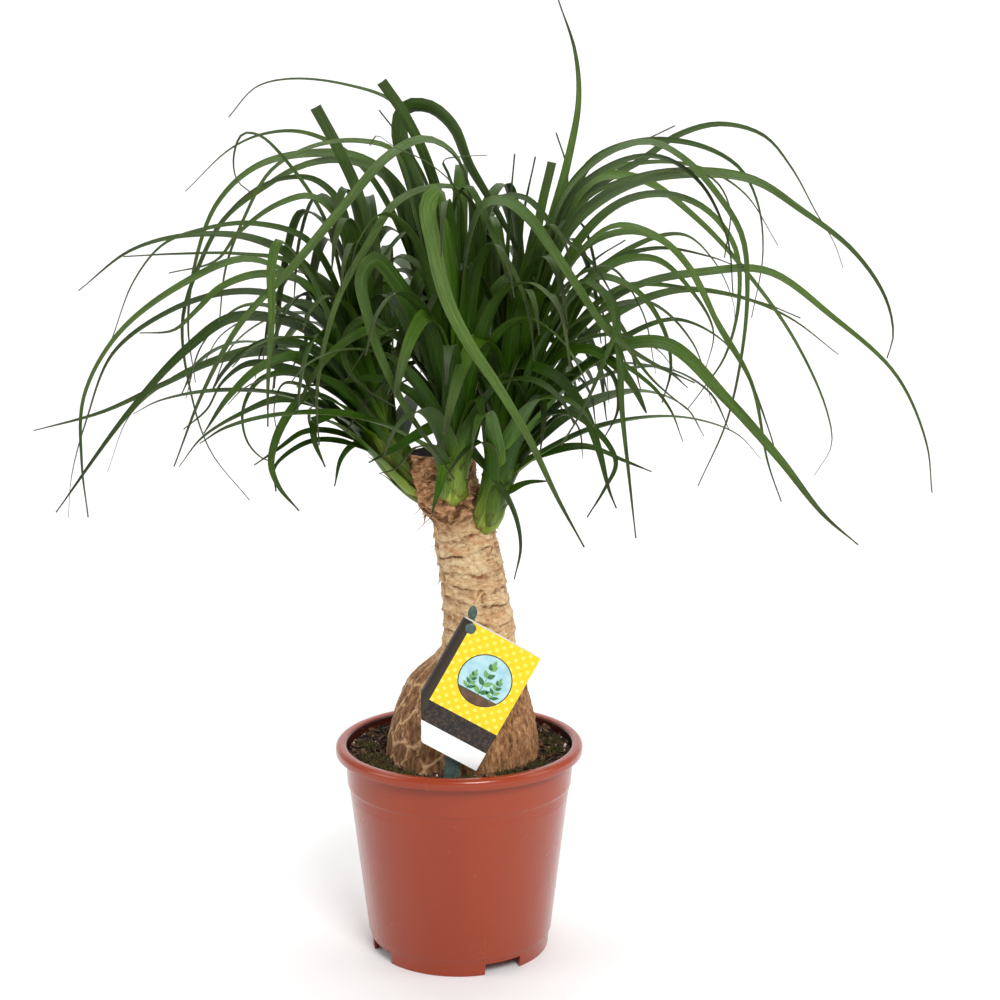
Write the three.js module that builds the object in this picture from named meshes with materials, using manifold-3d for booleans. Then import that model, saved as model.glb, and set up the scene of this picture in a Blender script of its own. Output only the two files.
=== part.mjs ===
// A ponytail palm in a plastic nursery pot: a swollen caudex that narrows to a sawn trunk, four leafy
// shoots with arching strap leaves, the soil, and a folded plant card on its stake.
// Millimetres, +Z up. The origin is on the pot's axis, in the plane that its foot stands on.
import * as THREE from "three";
import { mergeVertices } from "three/addons/utils/BufferGeometryUtils.js";
import Module from "manifold-3d";

const { clamp, degToRad, lerp, radToDeg, smoothstep } = THREE.MathUtils;
const wasm = await Module();
wasm.setup();

// Space kept between pieces that touch on the real plant.
const GAP = 0.3;

// Pot: heights, and outer radii, from the foot to the rolled rim.
const POT_HEIGHT = 163.4;
const POT_WALL = 1.5;
const POT_SECTORS = 32;
const FOOT_RADIUS = 68.9;
const FOOT_HEIGHT = 12.6;
const FOOT_WALL = 2.2;
const FLOOR_BOTTOM = 13.6;
const FLOOR_TOP = 15.4;
const BODY_BOTTOM_RADIUS = 71.2;
const BAND_BOTTOM = 122;
const BAND_BOTTOM_RADIUS = 84.1;
const COLLAR_BOTTOM = 131;
const COLLAR_BOTTOM_RADIUS = 85.5;
const COLLAR_STEP = 0.9;
const COLLAR_TOP_RADIUS = 88;
const RIM_RADIUS = 95;
const RIM_SKIRT_BOTTOM = 155.4;
const RIM_WALL = 1.8;
const RIM_ROLL = 3.8;
const STEP_HEIGHT = 1;
const FOOT_SLOTS = 4;
const FOOT_SLOT_WIDTH = 30;
const FOOT_SLOT_HEIGHT = 9;
const FOOT_SLOT_DEPTH = 30;
const FOOT_SLOT_TURN = -150.5;
const DRAIN_RADIUS = 4;
const DRAIN_CIRCLE = 46;
const DRAIN_HOLES = 4;
const DRAIN_SECTORS = 6;

// Soil: level, roughness, and how deep the caudex and the stake stand in it.
const SOIL_TOP = 155;
const SOIL_SECTORS = 24;
const SOIL_ROUGHNESS = 1.4;
const SOIL_RINGS = 5;
const SOIL_RING_SPACING = 9;

// Caudex and trunk: height, sideways place of the middle, and radius.
const TRUNK_ROWS = [
  [105, 0, 40],
  [118, 0, 51],
  [130, 1, 56],
  [150, 2, 58.5],
  [165, 2.5, 57.5],
  [180, 3, 55],
  [200, 4, 49],
  [215, 6.5, 43.5],
  [230, 13, 33],
  [240, 15, 28],
  [260, 15, 26.7],
  [280, 12, 24.8],
  [300, 9.5, 24.5],
  [320, 5.5, 23.5],
  [335, 3.5, 23.5],
  [350, -5, 26],
  [370, -12, 25],
  [388, -13, 25],
];
const TRUNK_SECTORS = 26;
const CAUDEX_RINGS = 13;
const STEM_RINGS = 23;
const NECK_HEIGHT = 236;
const NECK_BLEND = 24;
const PLATE_RELIEF = 1.5;
const PLATE_COUNT = 5;
const PLATE_HEIGHT = 34;
const SCAR_RELIEF = 0.45;
const SCAR_SPACING = 13.5;
const SCAR_WANDER = 3.2;
const FLUTE_RELIEF = 0.5;
const SAWN_DISH = 2.2;

// Shoots: the line of each short stem, from the bark outwards, and its radius along that line.
const STEM_SECTORS = 8;
const SHOOTS = {
  shoot_left: {
    line: [[-25, -2, 352], [-38, -4, 366], [-50, -5, 383], [-60, -5, 400], [-66, -5, 416]],
    radii: [7, 10, 11, 10, 6],
    colour: 0x4c7a2c,
  },
  shoot_front: {
    line: [[-3, -22, 356], [-3, -33, 364], [-2, -38, 378], [0, -39, 395], [2, -38, 412]],
    radii: [8, 9, 9, 8, 5],
    colour: 0x54822f,
  },
  shoot_right: {
    line: [[18, -12, 330], [23, -18, 340], [28, -20, 360], [34, -19, 385], [41, -17, 412]],
    radii: [7, 10, 10, 10, 6],
    colour: 0x4f7e2d,
  },
  shoot_rear: {
    line: [[-8, 20, 366], [-6, 34, 376], [-3, 40, 390], [-1, 42, 406], [0, 42, 424]],
    radii: [8, 10, 11, 9, 6],
    colour: 0x47742a,
  },
};

// Leaves: length stations, rings that carry the blade, and how its section changes along it.
const STATIONS = 64;
const RING_SPACING = 76;
const RING_BEND = 36;
const FEWEST_RINGS = 4;
const MOST_RINGS = 11;
const LAST_RING = 61;
const ROOT_NARROWING = 0.6;
const WIDEST_SHARE = 0.12;
const TAPER = 0.85;
const LEAST_WIDTH = 1;
const CUT_WIDTH_SHARE = 0.55;
const KEEL = 1.1;
const KEEL_PER_WIDTH = 0.05;
const FACE_TURN = 40;
const CLEARANCE = 0.45;
const BASE_ZONE = 0.24;
const ROOT_LOWEST = 0.42;
const ROOT_RANGE = 0.5;
const TRUNK_MARGIN = 6;
const TRUNK_MARGIN_FROM = 8;

// The place in front of the plant from which the outline leaves below are laid out.
const EYE = new THREE.Vector3(31, -1330, 601);

// Outline leaves: shoot, blade width, depth of the tip behind the pot's axis, and then the points
// through which the leaf passes, each as x and z on the upright plane through the axis, as the eye
// projects it there. A leaf marked cut ends square, where it was trimmed.
const CUT = "cut";
const OUTLINE_LEAVES = [
  ["shoot_left", 14, 60, [-92, 480, -112, 525, -150, 546, -200, 548, -240, 537, -279, 508]],
  ["shoot_left", 14, 85, [-95, 440, -130, 461, -175, 457, -220, 438, -265, 418, -317, 404]],
  ["shoot_left", 16, -60, [-92, 458, -120, 482, -165, 488, -200, 465, -245, 418, -303, 342]],
  ["shoot_left", 11, 120, [-95, 480, -130, 503, -165, 507, -210, 494,
    -255, 462, -277, 412, -290, 370, -294, 338]],
  ["shoot_left", 12, -110, [-95, 485, -120, 517, -155, 531, -200, 514,
    -250, 477, -278, 430, -282, 380, -279, 338]],
  ["shoot_left", 12, 30, [-78, 520, -85, 570, -105, 589, -135, 587, -160, 572, -180, 548]],
  ["shoot_left", 11, -40, [-82, 500, -97, 560, -125, 603, -143, 620,
    -155, 621, -162, 605, -160, 588, -150, 579]],
  ["shoot_left", 14, -50, [-80, 500, -85, 555, -105, 576, -130, 571, -160, 550, -177, 530, -212, 521]],
  ["shoot_left", 8, 40, [-88, 495, -120, 528, -160, 535, -205, 535, -245, 533]],
  ["shoot_left", 9, 20, [-85, 500, -110, 545, -150, 557, -185, 553, -215, 542, -238, 515, -256, 472]],
  ["shoot_left", 16, -90, [-90, 480, -112, 513, -145, 520, -175, 510, -192, 494, -210, 479, -235, 477]],
  ["shoot_left", 19, -70, [-90, 440, -118, 459, -145, 452, -170, 430, -190, 402]],
  ["shoot_left", 13, 30, [-92, 438, -125, 450, -155, 454, -175, 440, -187, 420, -205, 405]],
  ["shoot_left", 10, -20, [-92, 432, -125, 447, -147, 442, -160, 420, -158, 397, -148, 384, -138, 380]],
  ["shoot_left", 13, 60, [-95, 420, -130, 428, -165, 415, -192, 398, -209, 377]],
  ["shoot_left", 15, -90, [-90, 425, -112, 430, -130, 410, -140, 380, -135, 362, -120, 343]],
  ["shoot_left", 14, -120, [-88, 470, -112, 525, -130, 544, -136, 528, -137, 490, -141, 440, -142, 407]],
  ["shoot_left", 10, -40, [-92, 403, -115, 403, -135, 390, -153, 378]],
  ["shoot_left", 9, -70, [-88, 396, -110, 396, -130, 385, -138, 375, -137, 358]],
  ["shoot_left", 9, -35, [-76, 394, -87, 384, -93, 362]],
  ["shoot_left", 11, 130, [-100, 462, -140, 467, -175, 459, -215, 441, -245, 415, -263, 373]],
  ["shoot_left", 14, -60, [-85, 417, -108, 411], CUT],
  ["shoot_left", 17, 40, [-66, 500, -70, 570, -85, 608, -102, 640], CUT],
  ["shoot_rear", 16, 90, [-25, 520, -42, 580, -70, 603, -105, 607, -145, 598,
    -175, 571, -193, 525, -199, 480, -195, 440]],
  ["shoot_rear", 11, 60, [-35, 540, -52, 590, -80, 602, -110, 599, -140, 583, -170, 560,
    -190, 525, -203, 485, -198, 430, -185, 388, -157, 351]],
  ["shoot_rear", 11, -40, [-30, 560, -45, 608, -70, 616, -105, 612,
    -135, 595, -155, 562, -170, 525, -176, 485]],
  ["shoot_rear", 9, 130, [-45, 560, -75, 604, -110, 622, -140, 621, -165, 610, -198, 580]],
  ["shoot_rear", 8, 60, [-12, 540, -25, 610, -45, 643, -80, 656, -120, 660, -145, 654, -165, 633]],
  ["shoot_rear", 18, -150, [4, 500, 10, 565, 0, 604, -22, 617, -48, 606,
    -80, 572, -120, 526, -160, 484, -190, 432, -213, 377]],
  ["shoot_rear", 16, -130, [12, 490, 16, 555, 2, 581, -22, 582, -45, 571,
    -65, 542, -85, 508, -98, 470, -105, 430, -104, 393]],
  ["shoot_rear", 15, -20, [-5, 500, -10, 560, -22, 602, -38, 635, -54, 658], CUT],
  ["shoot_rear", 24, 20, [-10, 480, -17, 535, -30, 585, -41, 622, -37, 639, -20, 640,
    -3, 626, 8, 600, 20, 580, 32, 560, 48, 530, 60, 495]],
  ["shoot_rear", 11, -120, [-4, 520, -2, 570, 7, 584, 16, 572, 28, 545, 44, 517, 53, 490, 57, 456]],
  ["shoot_rear", 10, -30, [2, 500, 3, 560, -6, 592, -10, 602, 4, 605, 22, 606]],
  ["shoot_rear", 10, -60, [4, 530, 0, 580, -20, 600, -45, 612, -58, 620, -63, 613]],
  ["shoot_rear", 8, 10, [-10, 520, -22, 585, -40, 617, -56, 638]],
  ["shoot_rear", 13, -90, [15, 520, 30, 574, 50, 575, 75, 549, 100, 527, 118, 498]],
  ["shoot_front", 18, -130, [-18, 460, -40, 508, -60, 531, -70, 518, -66, 490,
    -55, 455, -38, 420, -18, 390, -3, 367]],
  ["shoot_front", 18, -170, [2, 480, -6, 545, -13, 581, -21, 572, -17, 540, -9, 505,
    6, 473, 28, 440, 52, 400, 75, 352, 95, 315]],
  ["shoot_front", 20, -140, [4, 480, 8, 540, 20, 570, 35, 573, 52, 561,
    70, 537, 90, 508, 112, 477, 140, 457, 176, 440]],
  ["shoot_front", 19, -60, [-12, 425, -28, 452, -48, 476, -68, 487,
    -82, 475, -83, 455, -72, 438, -46, 421]],
  ["shoot_front", 14, -90, [-10, 408, -28, 402, -48, 390, -67, 380]],
  ["shoot_front", 13, -75, [-6, 398, -10, 378, -20, 341]],
  ["shoot_front", 13, -20, [-18, 412, -35, 432, -60, 443, -90, 440, -120, 437]],
  ["shoot_right", 16, -110, [24, 424, 12, 436, 1, 426, 0, 408, 12, 388,
    30, 366, 43, 340, 47, 315, 42, 290]],
  ["shoot_right", 13, 20, [52, 480, 60, 560, 69, 601], CUT],
  ["shoot_right", 13, 60, [55, 500, 68, 555, 80, 600, 88, 645, 85, 680, 73, 715]],
  ["shoot_right", 7, -10, [36, 500, 38, 560, 42, 607]],
  ["shoot_right", 7, 10, [44, 500, 48, 560, 57, 605]],
  ["shoot_right", 8, 40, [60, 500, 76, 560, 80, 595, 72, 622]],
  ["shoot_right", 11, 120, [65, 520, 95, 577, 135, 603, 160, 620, 190, 628,
    222, 620, 243, 597, 262, 565, 276, 543, 283, 525]],
  ["shoot_right", 11, 60, [60, 510, 85, 580, 100, 603, 135, 616, 175, 613,
    205, 597, 219, 572, 224, 535, 217, 488]],
  ["shoot_right", 15, -80, [58, 510, 80, 578, 110, 607, 140, 615, 165, 603, 190, 577,
    208, 548, 213, 510, 210, 460, 200, 410, 180, 362]],
  ["shoot_right", 20, -40, [62, 500, 85, 555, 125, 585, 170, 593, 215, 588,
    250, 567, 290, 537, 315, 503, 322, 475, 318, 458]],
  ["shoot_right", 14, 100, [60, 490, 75, 555, 100, 589, 135, 588, 175, 560,
    215, 518, 250, 470, 275, 418, 279, 392, 267, 370]],
  ["shoot_right", 14, -10, [65, 490, 90, 545, 120, 572, 150, 578, 180, 568,
    203, 540, 207, 500, 198, 460, 182, 435, 171, 420]],
  ["shoot_right", 13, -130, [62, 480, 85, 530, 115, 555, 145, 548, 170, 525,
    195, 478, 215, 446, 232, 405, 236, 393]],
  ["shoot_right", 12, -100, [64, 485, 95, 540, 130, 551, 160, 537,
    190, 488, 218, 440, 232, 380, 243, 350]],
  ["shoot_right", 10, 60, [70, 480, 105, 525, 145, 539, 185, 533, 207, 525]],
  ["shoot_right", 9, 130, [75, 490, 125, 538, 165, 549, 188, 530, 203, 500, 205, 484]],
  ["shoot_right", 14, 20, [75, 470, 110, 525, 145, 531, 172, 508, 189, 478, 184, 450]],
  ["shoot_right", 13, -83, [80, 465, 125, 508, 185, 522, 228, 522,
    275, 490, 325, 446, 350, 395, 356, 357]],
  ["shoot_right", 12, 100, [80, 455, 115, 490, 160, 508, 205, 504, 245, 488, 282, 461]],
  ["shoot_right", 9, 40, [78, 470, 120, 510, 175, 509, 225, 499, 253, 488]],
  ["shoot_right", 15, -60, [72, 465, 100, 517, 130, 509, 152, 480, 158, 450, 152, 425]],
  ["shoot_right", 9, 50, [80, 440, 120, 472, 160, 487, 195, 472, 214, 447]],
  ["shoot_right", 20, -150, [75, 430, 115, 464, 155, 468, 200, 427, 240, 383, 275, 340, 302, 317]],
  ["shoot_right", 13, -100, [65, 470, 92, 515, 112, 500, 119, 465, 122, 420, 128, 370, 134, 322]],
  ["shoot_right", 12, -30, [75, 435, 100, 455, 115, 445, 119, 420, 108, 396]],
  ["shoot_right", 13, 30, [78, 440, 110, 457, 140, 441, 158, 420, 168, 396]],
  ["shoot_right", 11, -70, [62, 412, 80, 418, 105, 402, 118, 380, 110, 360, 97, 338]],
  ["shoot_right", 12, 0, [60, 385, 95, 392, 125, 381, 145, 373]],
  ["shoot_right", 16, -120, [45, 452, 72, 445, 92, 422, 105, 390, 113, 360, 119, 345]],
  ["shoot_right", 11, -30, [50, 364, 68, 366]],
  ["shoot_right", 8, -140, [62, 470, 100, 512, 118, 492, 108, 455, 92, 418, 77, 393]],
  ["shoot_right", 8, -120, [72, 470, 100, 490, 118, 475, 145, 442, 171, 420]],
  ["shoot_right", 10, 140, [68, 530, 95, 588, 140, 601, 180, 596, 210, 578, 235, 541]],
  ["shoot_right", 12, -60, [62, 520, 85, 578, 120, 602, 150, 604, 178, 585, 198, 545, 203, 505]],
  ["shoot_right", 8, -30, [66, 525, 95, 575, 150, 595, 185, 590, 199, 568, 196, 532]],
  ["shoot_right", 8, 40, [60, 540, 95, 600, 130, 614, 158, 627]],
  ["shoot_right", 7, 60, [75, 500, 100, 530, 123, 545]],
];

// Inner leaves fill each shoot in fans: how many leaves, the middle heading in degrees from +X, how
// far the fan spreads to each side, and how far its leaves reach and fall, against a full one.
const GOLDEN_TURN = 137.508;
const DRAW_SEED = 4711;
const INNER_FANS = [
  { shoot: "shoot_left", count: 13, heading: 128, spread: 48, reach: 1, fall: 0.75 },
  { shoot: "shoot_left", count: 8, heading: 232, spread: 36, reach: 0.8, fall: 0.3 },
  { shoot: "shoot_front", count: 10, heading: 270, spread: 60, reach: 1, fall: 0.3 },
  { shoot: "shoot_right", count: 12, heading: 50, spread: 46, reach: 1, fall: 0.75 },
  { shoot: "shoot_right", count: 6, heading: 300, spread: 34, reach: 0.8, fall: 0.3 },
  { shoot: "shoot_rear", count: 18, heading: 90, spread: 55, reach: 1.1, fall: 0.8 },
];
const LONGEST_REACH = 230;
const SHORTEST_REACH = 80;
const LOWEST_ARCH = 45;
const HIGHEST_ARCH = 185;

// An arching leaf by shares of its reach, of its height and of its fall.
const ARCH = [
  [0.16, 0.5, 0],
  [0.4, 0.9, 0],
  [0.68, 1, 0],
  [0.9, 1, 0.4],
  [1, 1, 1],
];

// Stake and card, given as they stand in front of the caudex.
const STAKE_Y = -65.2;
const STAKE_THICKNESS = 1.6;
const STAKE_FOOT = [-13.4, 92];
const STAKE_TOP = [12.4, 286];
const STAKE_HALF_WIDTH = 5.7;
const STAKE_POINT_LENGTH = 16;
const STAKE_SHOULDER = 108;
const STAKE_NECK = 122;
const STAKE_NECK_HALF_WIDTH = 2.4;
const KNOB_HALF_WIDTH = 3.2;
const KNOB_LENGTH = 11;
const PIN_AT = [10.2, 271];
const PIN_RADIUS = 1.5;
const PIN_SECTORS = 10;
const PIN_HEAD_RADIUS = 4;
const PIN_HEAD_THICKNESS = 1.4;
const CARD_THICKNESS = 0.8;
const CARD_WIDTH = 56.4;
const CARD_HEIGHT = 97;
const CARD_TURN = 29;
const CARD_CORNER = [5.4, 279];
const CARD_BACK_SHORTER = 5;
const CARD_FOLD_RADIUS = 2.6;
const CARD_FOLD_OUT = 7;
const CARD_TRIM = { right: -26, top: 222, size: 60 };

// A number between low and high, the same on every run.
let drawState = DRAW_SEED;
function draw(low, high) {
  drawState = (drawState * 16807) % 2147483647;
  return low + ((high - low) * drawState) / 2147483647;
}

// A closed solid from a geometry, with its shared corners merged and empty triangles left out.
function solidOf(geometry) {
  const bare = geometry.clone();
  bare.deleteAttribute("normal");
  bare.deleteAttribute("uv");
  const merged = mergeVertices(bare, 1e-3);
  const corners = merged.index.array;
  const kept = [];
  for (let i = 0; i < corners.length; i += 3) {
    const [a, b, c] = [corners[i], corners[i + 1], corners[i + 2]];
    if (a !== b && b !== c && c !== a) kept.push(a, b, c);
  }
  const vertProperties = new Float32Array(merged.attributes.position.array);
  return new wasm.Manifold(new wasm.Mesh({ numProp: 3, vertProperties, triVerts: new Uint32Array(kept) }));
}

// The outer shell of a solid as a geometry: what fusing sealed inside it is filled.
function shellOf(solid) {
  const { numProp, vertProperties, triVerts } = solid.getMesh();
  const corner = (v) => new THREE.Vector3().fromArray(vertProperties, v * numProp);
  const group = Array.from({ length: vertProperties.length / numProp }, (_, v) => v);
  const find = (v) => {
    while (group[v] !== v) {
      group[v] = group[group[v]];
      v = group[v];
    }
    return v;
  };
  for (let i = 0; i < triVerts.length; i += 3) {
    group[find(triVerts[i + 1])] = find(triVerts[i]);
    group[find(triVerts[i + 2])] = find(triVerts[i]);
  }
  const volumes = new Map();
  for (let i = 0; i < triVerts.length; i += 3) {
    const [a, b, c] = [corner(triVerts[i]), corner(triVerts[i + 1]), corner(triVerts[i + 2])];
    const key = find(triVerts[i]);
    volumes.set(key, (volumes.get(key) ?? 0) + a.dot(b.cross(c)) / 6);
  }
  const outer = [...volumes].sort((p, q) => q[1] - p[1])[0][0];
  const positions = [];
  for (const v of triVerts) {
    if (find(v) === outer) positions.push(...corner(v));
  }
  return geometryOf(positions);
}

function geometryOf(positions) {
  const geometry = new THREE.BufferGeometry();
  geometry.setAttribute("position", new THREE.Float32BufferAttribute(positions, 3));
  geometry.computeVertexNormals();
  return geometry;
}

// Rings of points joined by a skin and closed to a point at each end. Each four-sided patch is split
// along the diagonal that lies further out, so a twisted strip never folds into itself.
function loft(rings, start, end) {
  const positions = [];
  const triangle = (a, b, c) => positions.push(...a, ...b, ...c);
  const middles = rings.map((ring) => {
    const sum = ring.reduce((total, p) => total.add(p), new THREE.Vector3());
    return sum.divideScalar(ring.length);
  });
  const sides = rings[0].length;
  const last = rings[rings.length - 1];
  for (let s = 0; s < sides; s++) {
    const t = (s + 1) % sides;
    triangle(start, rings[0][t], rings[0][s]);
    for (let i = 0; i + 1 < rings.length; i++) {
      const [a, b, c, d] = [rings[i][s], rings[i][t], rings[i + 1][t], rings[i + 1][s]];
      const middle = middles[i].clone().add(middles[i + 1]).multiplyScalar(0.5);
      const outward = b.clone().sub(a).cross(d.clone().sub(a));
      const rise = (p, q) => p.clone().add(q).multiplyScalar(0.5).sub(middle).dot(outward);
      if (rise(a, c) >= rise(b, d)) {
        triangle(a, b, c);
        triangle(a, c, d);
      } else {
        triangle(a, b, d);
        triangle(b, c, d);
      }
    }
    triangle(end, last[s], last[t]);
  }
  return geometryOf(positions);
}

// A solid of revolution about +Z from a profile of [radius, height] pairs.
function turned(profile, sectors) {
  const points = profile.map(([radius, height]) => new THREE.Vector2(radius, height));
  return new THREE.LatheGeometry(points, sectors).rotateX(Math.PI / 2);
}

// A plate with the given outline in the upright XZ plane, from y = front to y = back.
function uprightPlate(outline, front, back) {
  const shape = new THREE.Shape(outline.map(([x, z]) => new THREE.Vector2(x, z)));
  const plate = new THREE.ExtrudeGeometry(shape, { depth: back - front, bevelEnabled: false });
  return plate.rotateX(Math.PI / 2).translate(0, back, 0);
}

// Outer radius of the pot's wall at a height above the floor.
function potRadius(z) {
  const rows = [
    [FOOT_HEIGHT, BODY_BOTTOM_RADIUS],
    [BAND_BOTTOM, BAND_BOTTOM_RADIUS],
    [COLLAR_BOTTOM, COLLAR_BOTTOM_RADIUS],
    [COLLAR_BOTTOM + STEP_HEIGHT, COLLAR_BOTTOM_RADIUS + COLLAR_STEP],
    [POT_HEIGHT - 2 * RIM_WALL, COLLAR_TOP_RADIUS],
  ];
  const above = rows.findIndex(([height], i) => i > 0 && z <= height);
  const [[bottom, start], [top, end]] = [rows[above - 1], rows[above]];
  return lerp(start, end, (z - bottom) / (top - bottom));
}

function potGeometry() {
  const footInner = FOOT_RADIUS - FOOT_WALL;
  const collarFoot = COLLAR_BOTTOM_RADIUS + COLLAR_STEP;
  const underRim = POT_HEIGHT - 2 * RIM_WALL;
  const profile = [
    [0, FLOOR_BOTTOM],
    [footInner, FLOOR_BOTTOM],
    [footInner, 0],
    [FOOT_RADIUS, 0],
    [(FOOT_RADIUS + BODY_BOTTOM_RADIUS) / 2, FOOT_HEIGHT],
    [BODY_BOTTOM_RADIUS, FOOT_HEIGHT + STEP_HEIGHT],
    [BAND_BOTTOM_RADIUS, BAND_BOTTOM],
    [COLLAR_BOTTOM_RADIUS, COLLAR_BOTTOM],
    [collarFoot, COLLAR_BOTTOM + STEP_HEIGHT],
    [COLLAR_TOP_RADIUS, underRim],
    [RIM_RADIUS - RIM_WALL, underRim],
    [RIM_RADIUS - RIM_WALL, RIM_SKIRT_BOTTOM],
    [RIM_RADIUS - RIM_WALL / 4, RIM_SKIRT_BOTTOM],
    [RIM_RADIUS, POT_HEIGHT - RIM_ROLL],
    [RIM_RADIUS - RIM_ROLL / 3, POT_HEIGHT - RIM_ROLL / 3],
    [RIM_RADIUS - RIM_ROLL, POT_HEIGHT],
    [COLLAR_TOP_RADIUS, POT_HEIGHT - RIM_ROLL / 4],
    [COLLAR_TOP_RADIUS - POT_WALL, underRim],
    [collarFoot - POT_WALL, COLLAR_BOTTOM + STEP_HEIGHT],
    [COLLAR_BOTTOM_RADIUS - POT_WALL, COLLAR_BOTTOM],
    [BAND_BOTTOM_RADIUS - POT_WALL, BAND_BOTTOM],
    [potRadius(FLOOR_TOP) - POT_WALL, FLOOR_TOP],
    [0, FLOOR_TOP],
  ];
  let pot = solidOf(turned(profile, POT_SECTORS));
  for (let i = 0; i < FOOT_SLOTS; i++) {
    const slot = new THREE.BoxGeometry(FOOT_SLOT_DEPTH, FOOT_SLOT_WIDTH, 2 * FOOT_SLOT_HEIGHT);
    const angle = degToRad(FOOT_SLOT_TURN + (i * 360) / FOOT_SLOTS);
    pot = pot.subtract(solidOf(slot.translate(FOOT_RADIUS, 0, 0).rotateZ(angle)));
  }
  for (let i = 0; i <= DRAIN_HOLES; i++) {
    const hole = new THREE.CylinderGeometry(DRAIN_RADIUS, DRAIN_RADIUS, FLOOR_TOP, DRAIN_SECTORS);
    hole.rotateX(Math.PI / 2).translate(i ? DRAIN_CIRCLE : 0, 0, FLOOR_TOP);
    pot = pot.subtract(solidOf(hole.rotateZ((i * 2 * Math.PI) / DRAIN_HOLES)));
  }
  return shellOf(pot);
}

// Place of the trunk's middle and its plain radius at a height, on a smooth curve through the rows.
function trunkAt(z) {
  const rows = TRUNK_ROWS;
  const i = clamp(rows.findIndex((row) => row[0] > z) - 1, 0, rows.length - 2);
  const k = rows[rows.length - 1][0] <= z ? rows.length - 2 : i;
  const [below, above] = [rows[k], rows[k + 1]];
  const before = rows[Math.max(k - 1, 0)];
  const after = rows[Math.min(k + 2, rows.length - 1)];
  const span = above[0] - below[0];
  const t = clamp((z - below[0]) / span, 0, 1);
  const ease = (column) => {
    const slope0 = (above[column] - before[column]) / (above[0] - before[0]);
    const slope1 = (after[column] - below[column]) / (after[0] - below[0]);
    const start = (1 + 2 * t) * (1 - t) ** 2 * below[column] + t * (1 - t) ** 2 * span * slope0;
    return start + t * t * (3 - 2 * t) * above[column] + t * t * (t - 1) * span * slope1;
  };
  return { x: ease(1), radius: ease(2) };
}

// Height of the bark above the plain radius: plates in a net on the caudex, ring scars on the trunk.
function barkRelief(angle, z) {
  const neck = clamp((z - NECK_HEIGHT) / NECK_BLEND + 0.5, 0, 1);
  const wander = 0.5 * Math.sin(2 * angle + z / 19) + 0.35 * Math.sin(3 * angle - z / 27);
  const lean = (Math.PI * z) / PLATE_HEIGHT;
  const left = Math.abs(Math.sin(PLATE_COUNT * angle + lean + wander));
  const right = Math.abs(Math.sin(PLATE_COUNT * angle - lean + wander));
  const plates = PLATE_RELIEF * (0.5 - Math.sqrt(Math.min(left, right)));
  const level = z + SCAR_WANDER * (Math.sin(angle + z / 31) + 0.6 * Math.sin(2 * angle - z / 17));
  const scars = SCAR_RELIEF * Math.cos((2 * Math.PI * level) / SCAR_SPACING);
  const flutes = FLUTE_RELIEF * Math.sin(4 * angle + z / 23);
  return plates * (1 - neck) + (scars + flutes) * neck;
}

function trunkGeometry(extra) {
  const heights = [];
  const bottom = TRUNK_ROWS[0][0];
  const top = TRUNK_ROWS[TRUNK_ROWS.length - 1][0];
  for (let i = 0; i < CAUDEX_RINGS; i++) heights.push(bottom + ((NECK_HEIGHT - bottom) * i) / CAUDEX_RINGS);
  for (let i = 0; i <= STEM_RINGS; i++) heights.push(NECK_HEIGHT + ((top - NECK_HEIGHT) * i) / STEM_RINGS);
  const rings = heights.map((z) => {
    const { x, radius } = trunkAt(z);
    return Array.from({ length: TRUNK_SECTORS }, (_, s) => {
      const angle = (2 * Math.PI * s) / TRUNK_SECTORS;
      const reach = radius + barkRelief(angle, z) + extra;
      return new THREE.Vector3(x + reach * Math.cos(angle), reach * Math.sin(angle), z);
    });
  });
  const end = trunkAt(top);
  rings[0].forEach((p) => (p.z -= extra));
  rings[rings.length - 1].forEach((p) => (p.z += extra));
  const start = new THREE.Vector3(0, 0, bottom - extra);
  return loft(rings, start, new THREE.Vector3(end.x, 0, top + extra - SAWN_DISH));
}

function soilGeometry(cuts) {
  const surface = (radius, angle) => {
    const ripple = Math.sin(radius / 5 + 3 * angle) + Math.sin(radius / 9 - 5 * angle + 1);
    return SOIL_TOP + (SOIL_ROUGHNESS * ripple) / 2;
  };
  const ringAt = (radius, height) =>
    Array.from({ length: SOIL_SECTORS }, (_, s) => {
      const angle = (2 * Math.PI * s) / SOIL_SECTORS;
      const z = height ?? surface(radius, angle);
      return new THREE.Vector3(radius * Math.cos(angle), radius * Math.sin(angle), z);
    });
  const bottom = FLOOR_TOP + GAP;
  const wallAt = (z) => (potRadius(z) - POT_WALL) * Math.cos(Math.PI / POT_SECTORS) - GAP;
  const rings = [ringAt(wallAt(FLOOR_TOP), bottom)];
  for (const z of [BAND_BOTTOM, COLLAR_BOTTOM, COLLAR_BOTTOM + STEP_HEIGHT]) {
    rings.push(ringAt(wallAt(z), z));
  }
  for (let i = 0; i < SOIL_RINGS; i++) rings.push(ringAt(wallAt(SOIL_TOP) - i * SOIL_RING_SPACING));
  const start = new THREE.Vector3(0, 0, bottom);
  let soil = solidOf(loft(rings, start, new THREE.Vector3(0, 0, SOIL_TOP)));
  for (const cut of cuts) soil = soil.subtract(solidOf(cut));
  return shellOf(soil);
}

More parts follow.
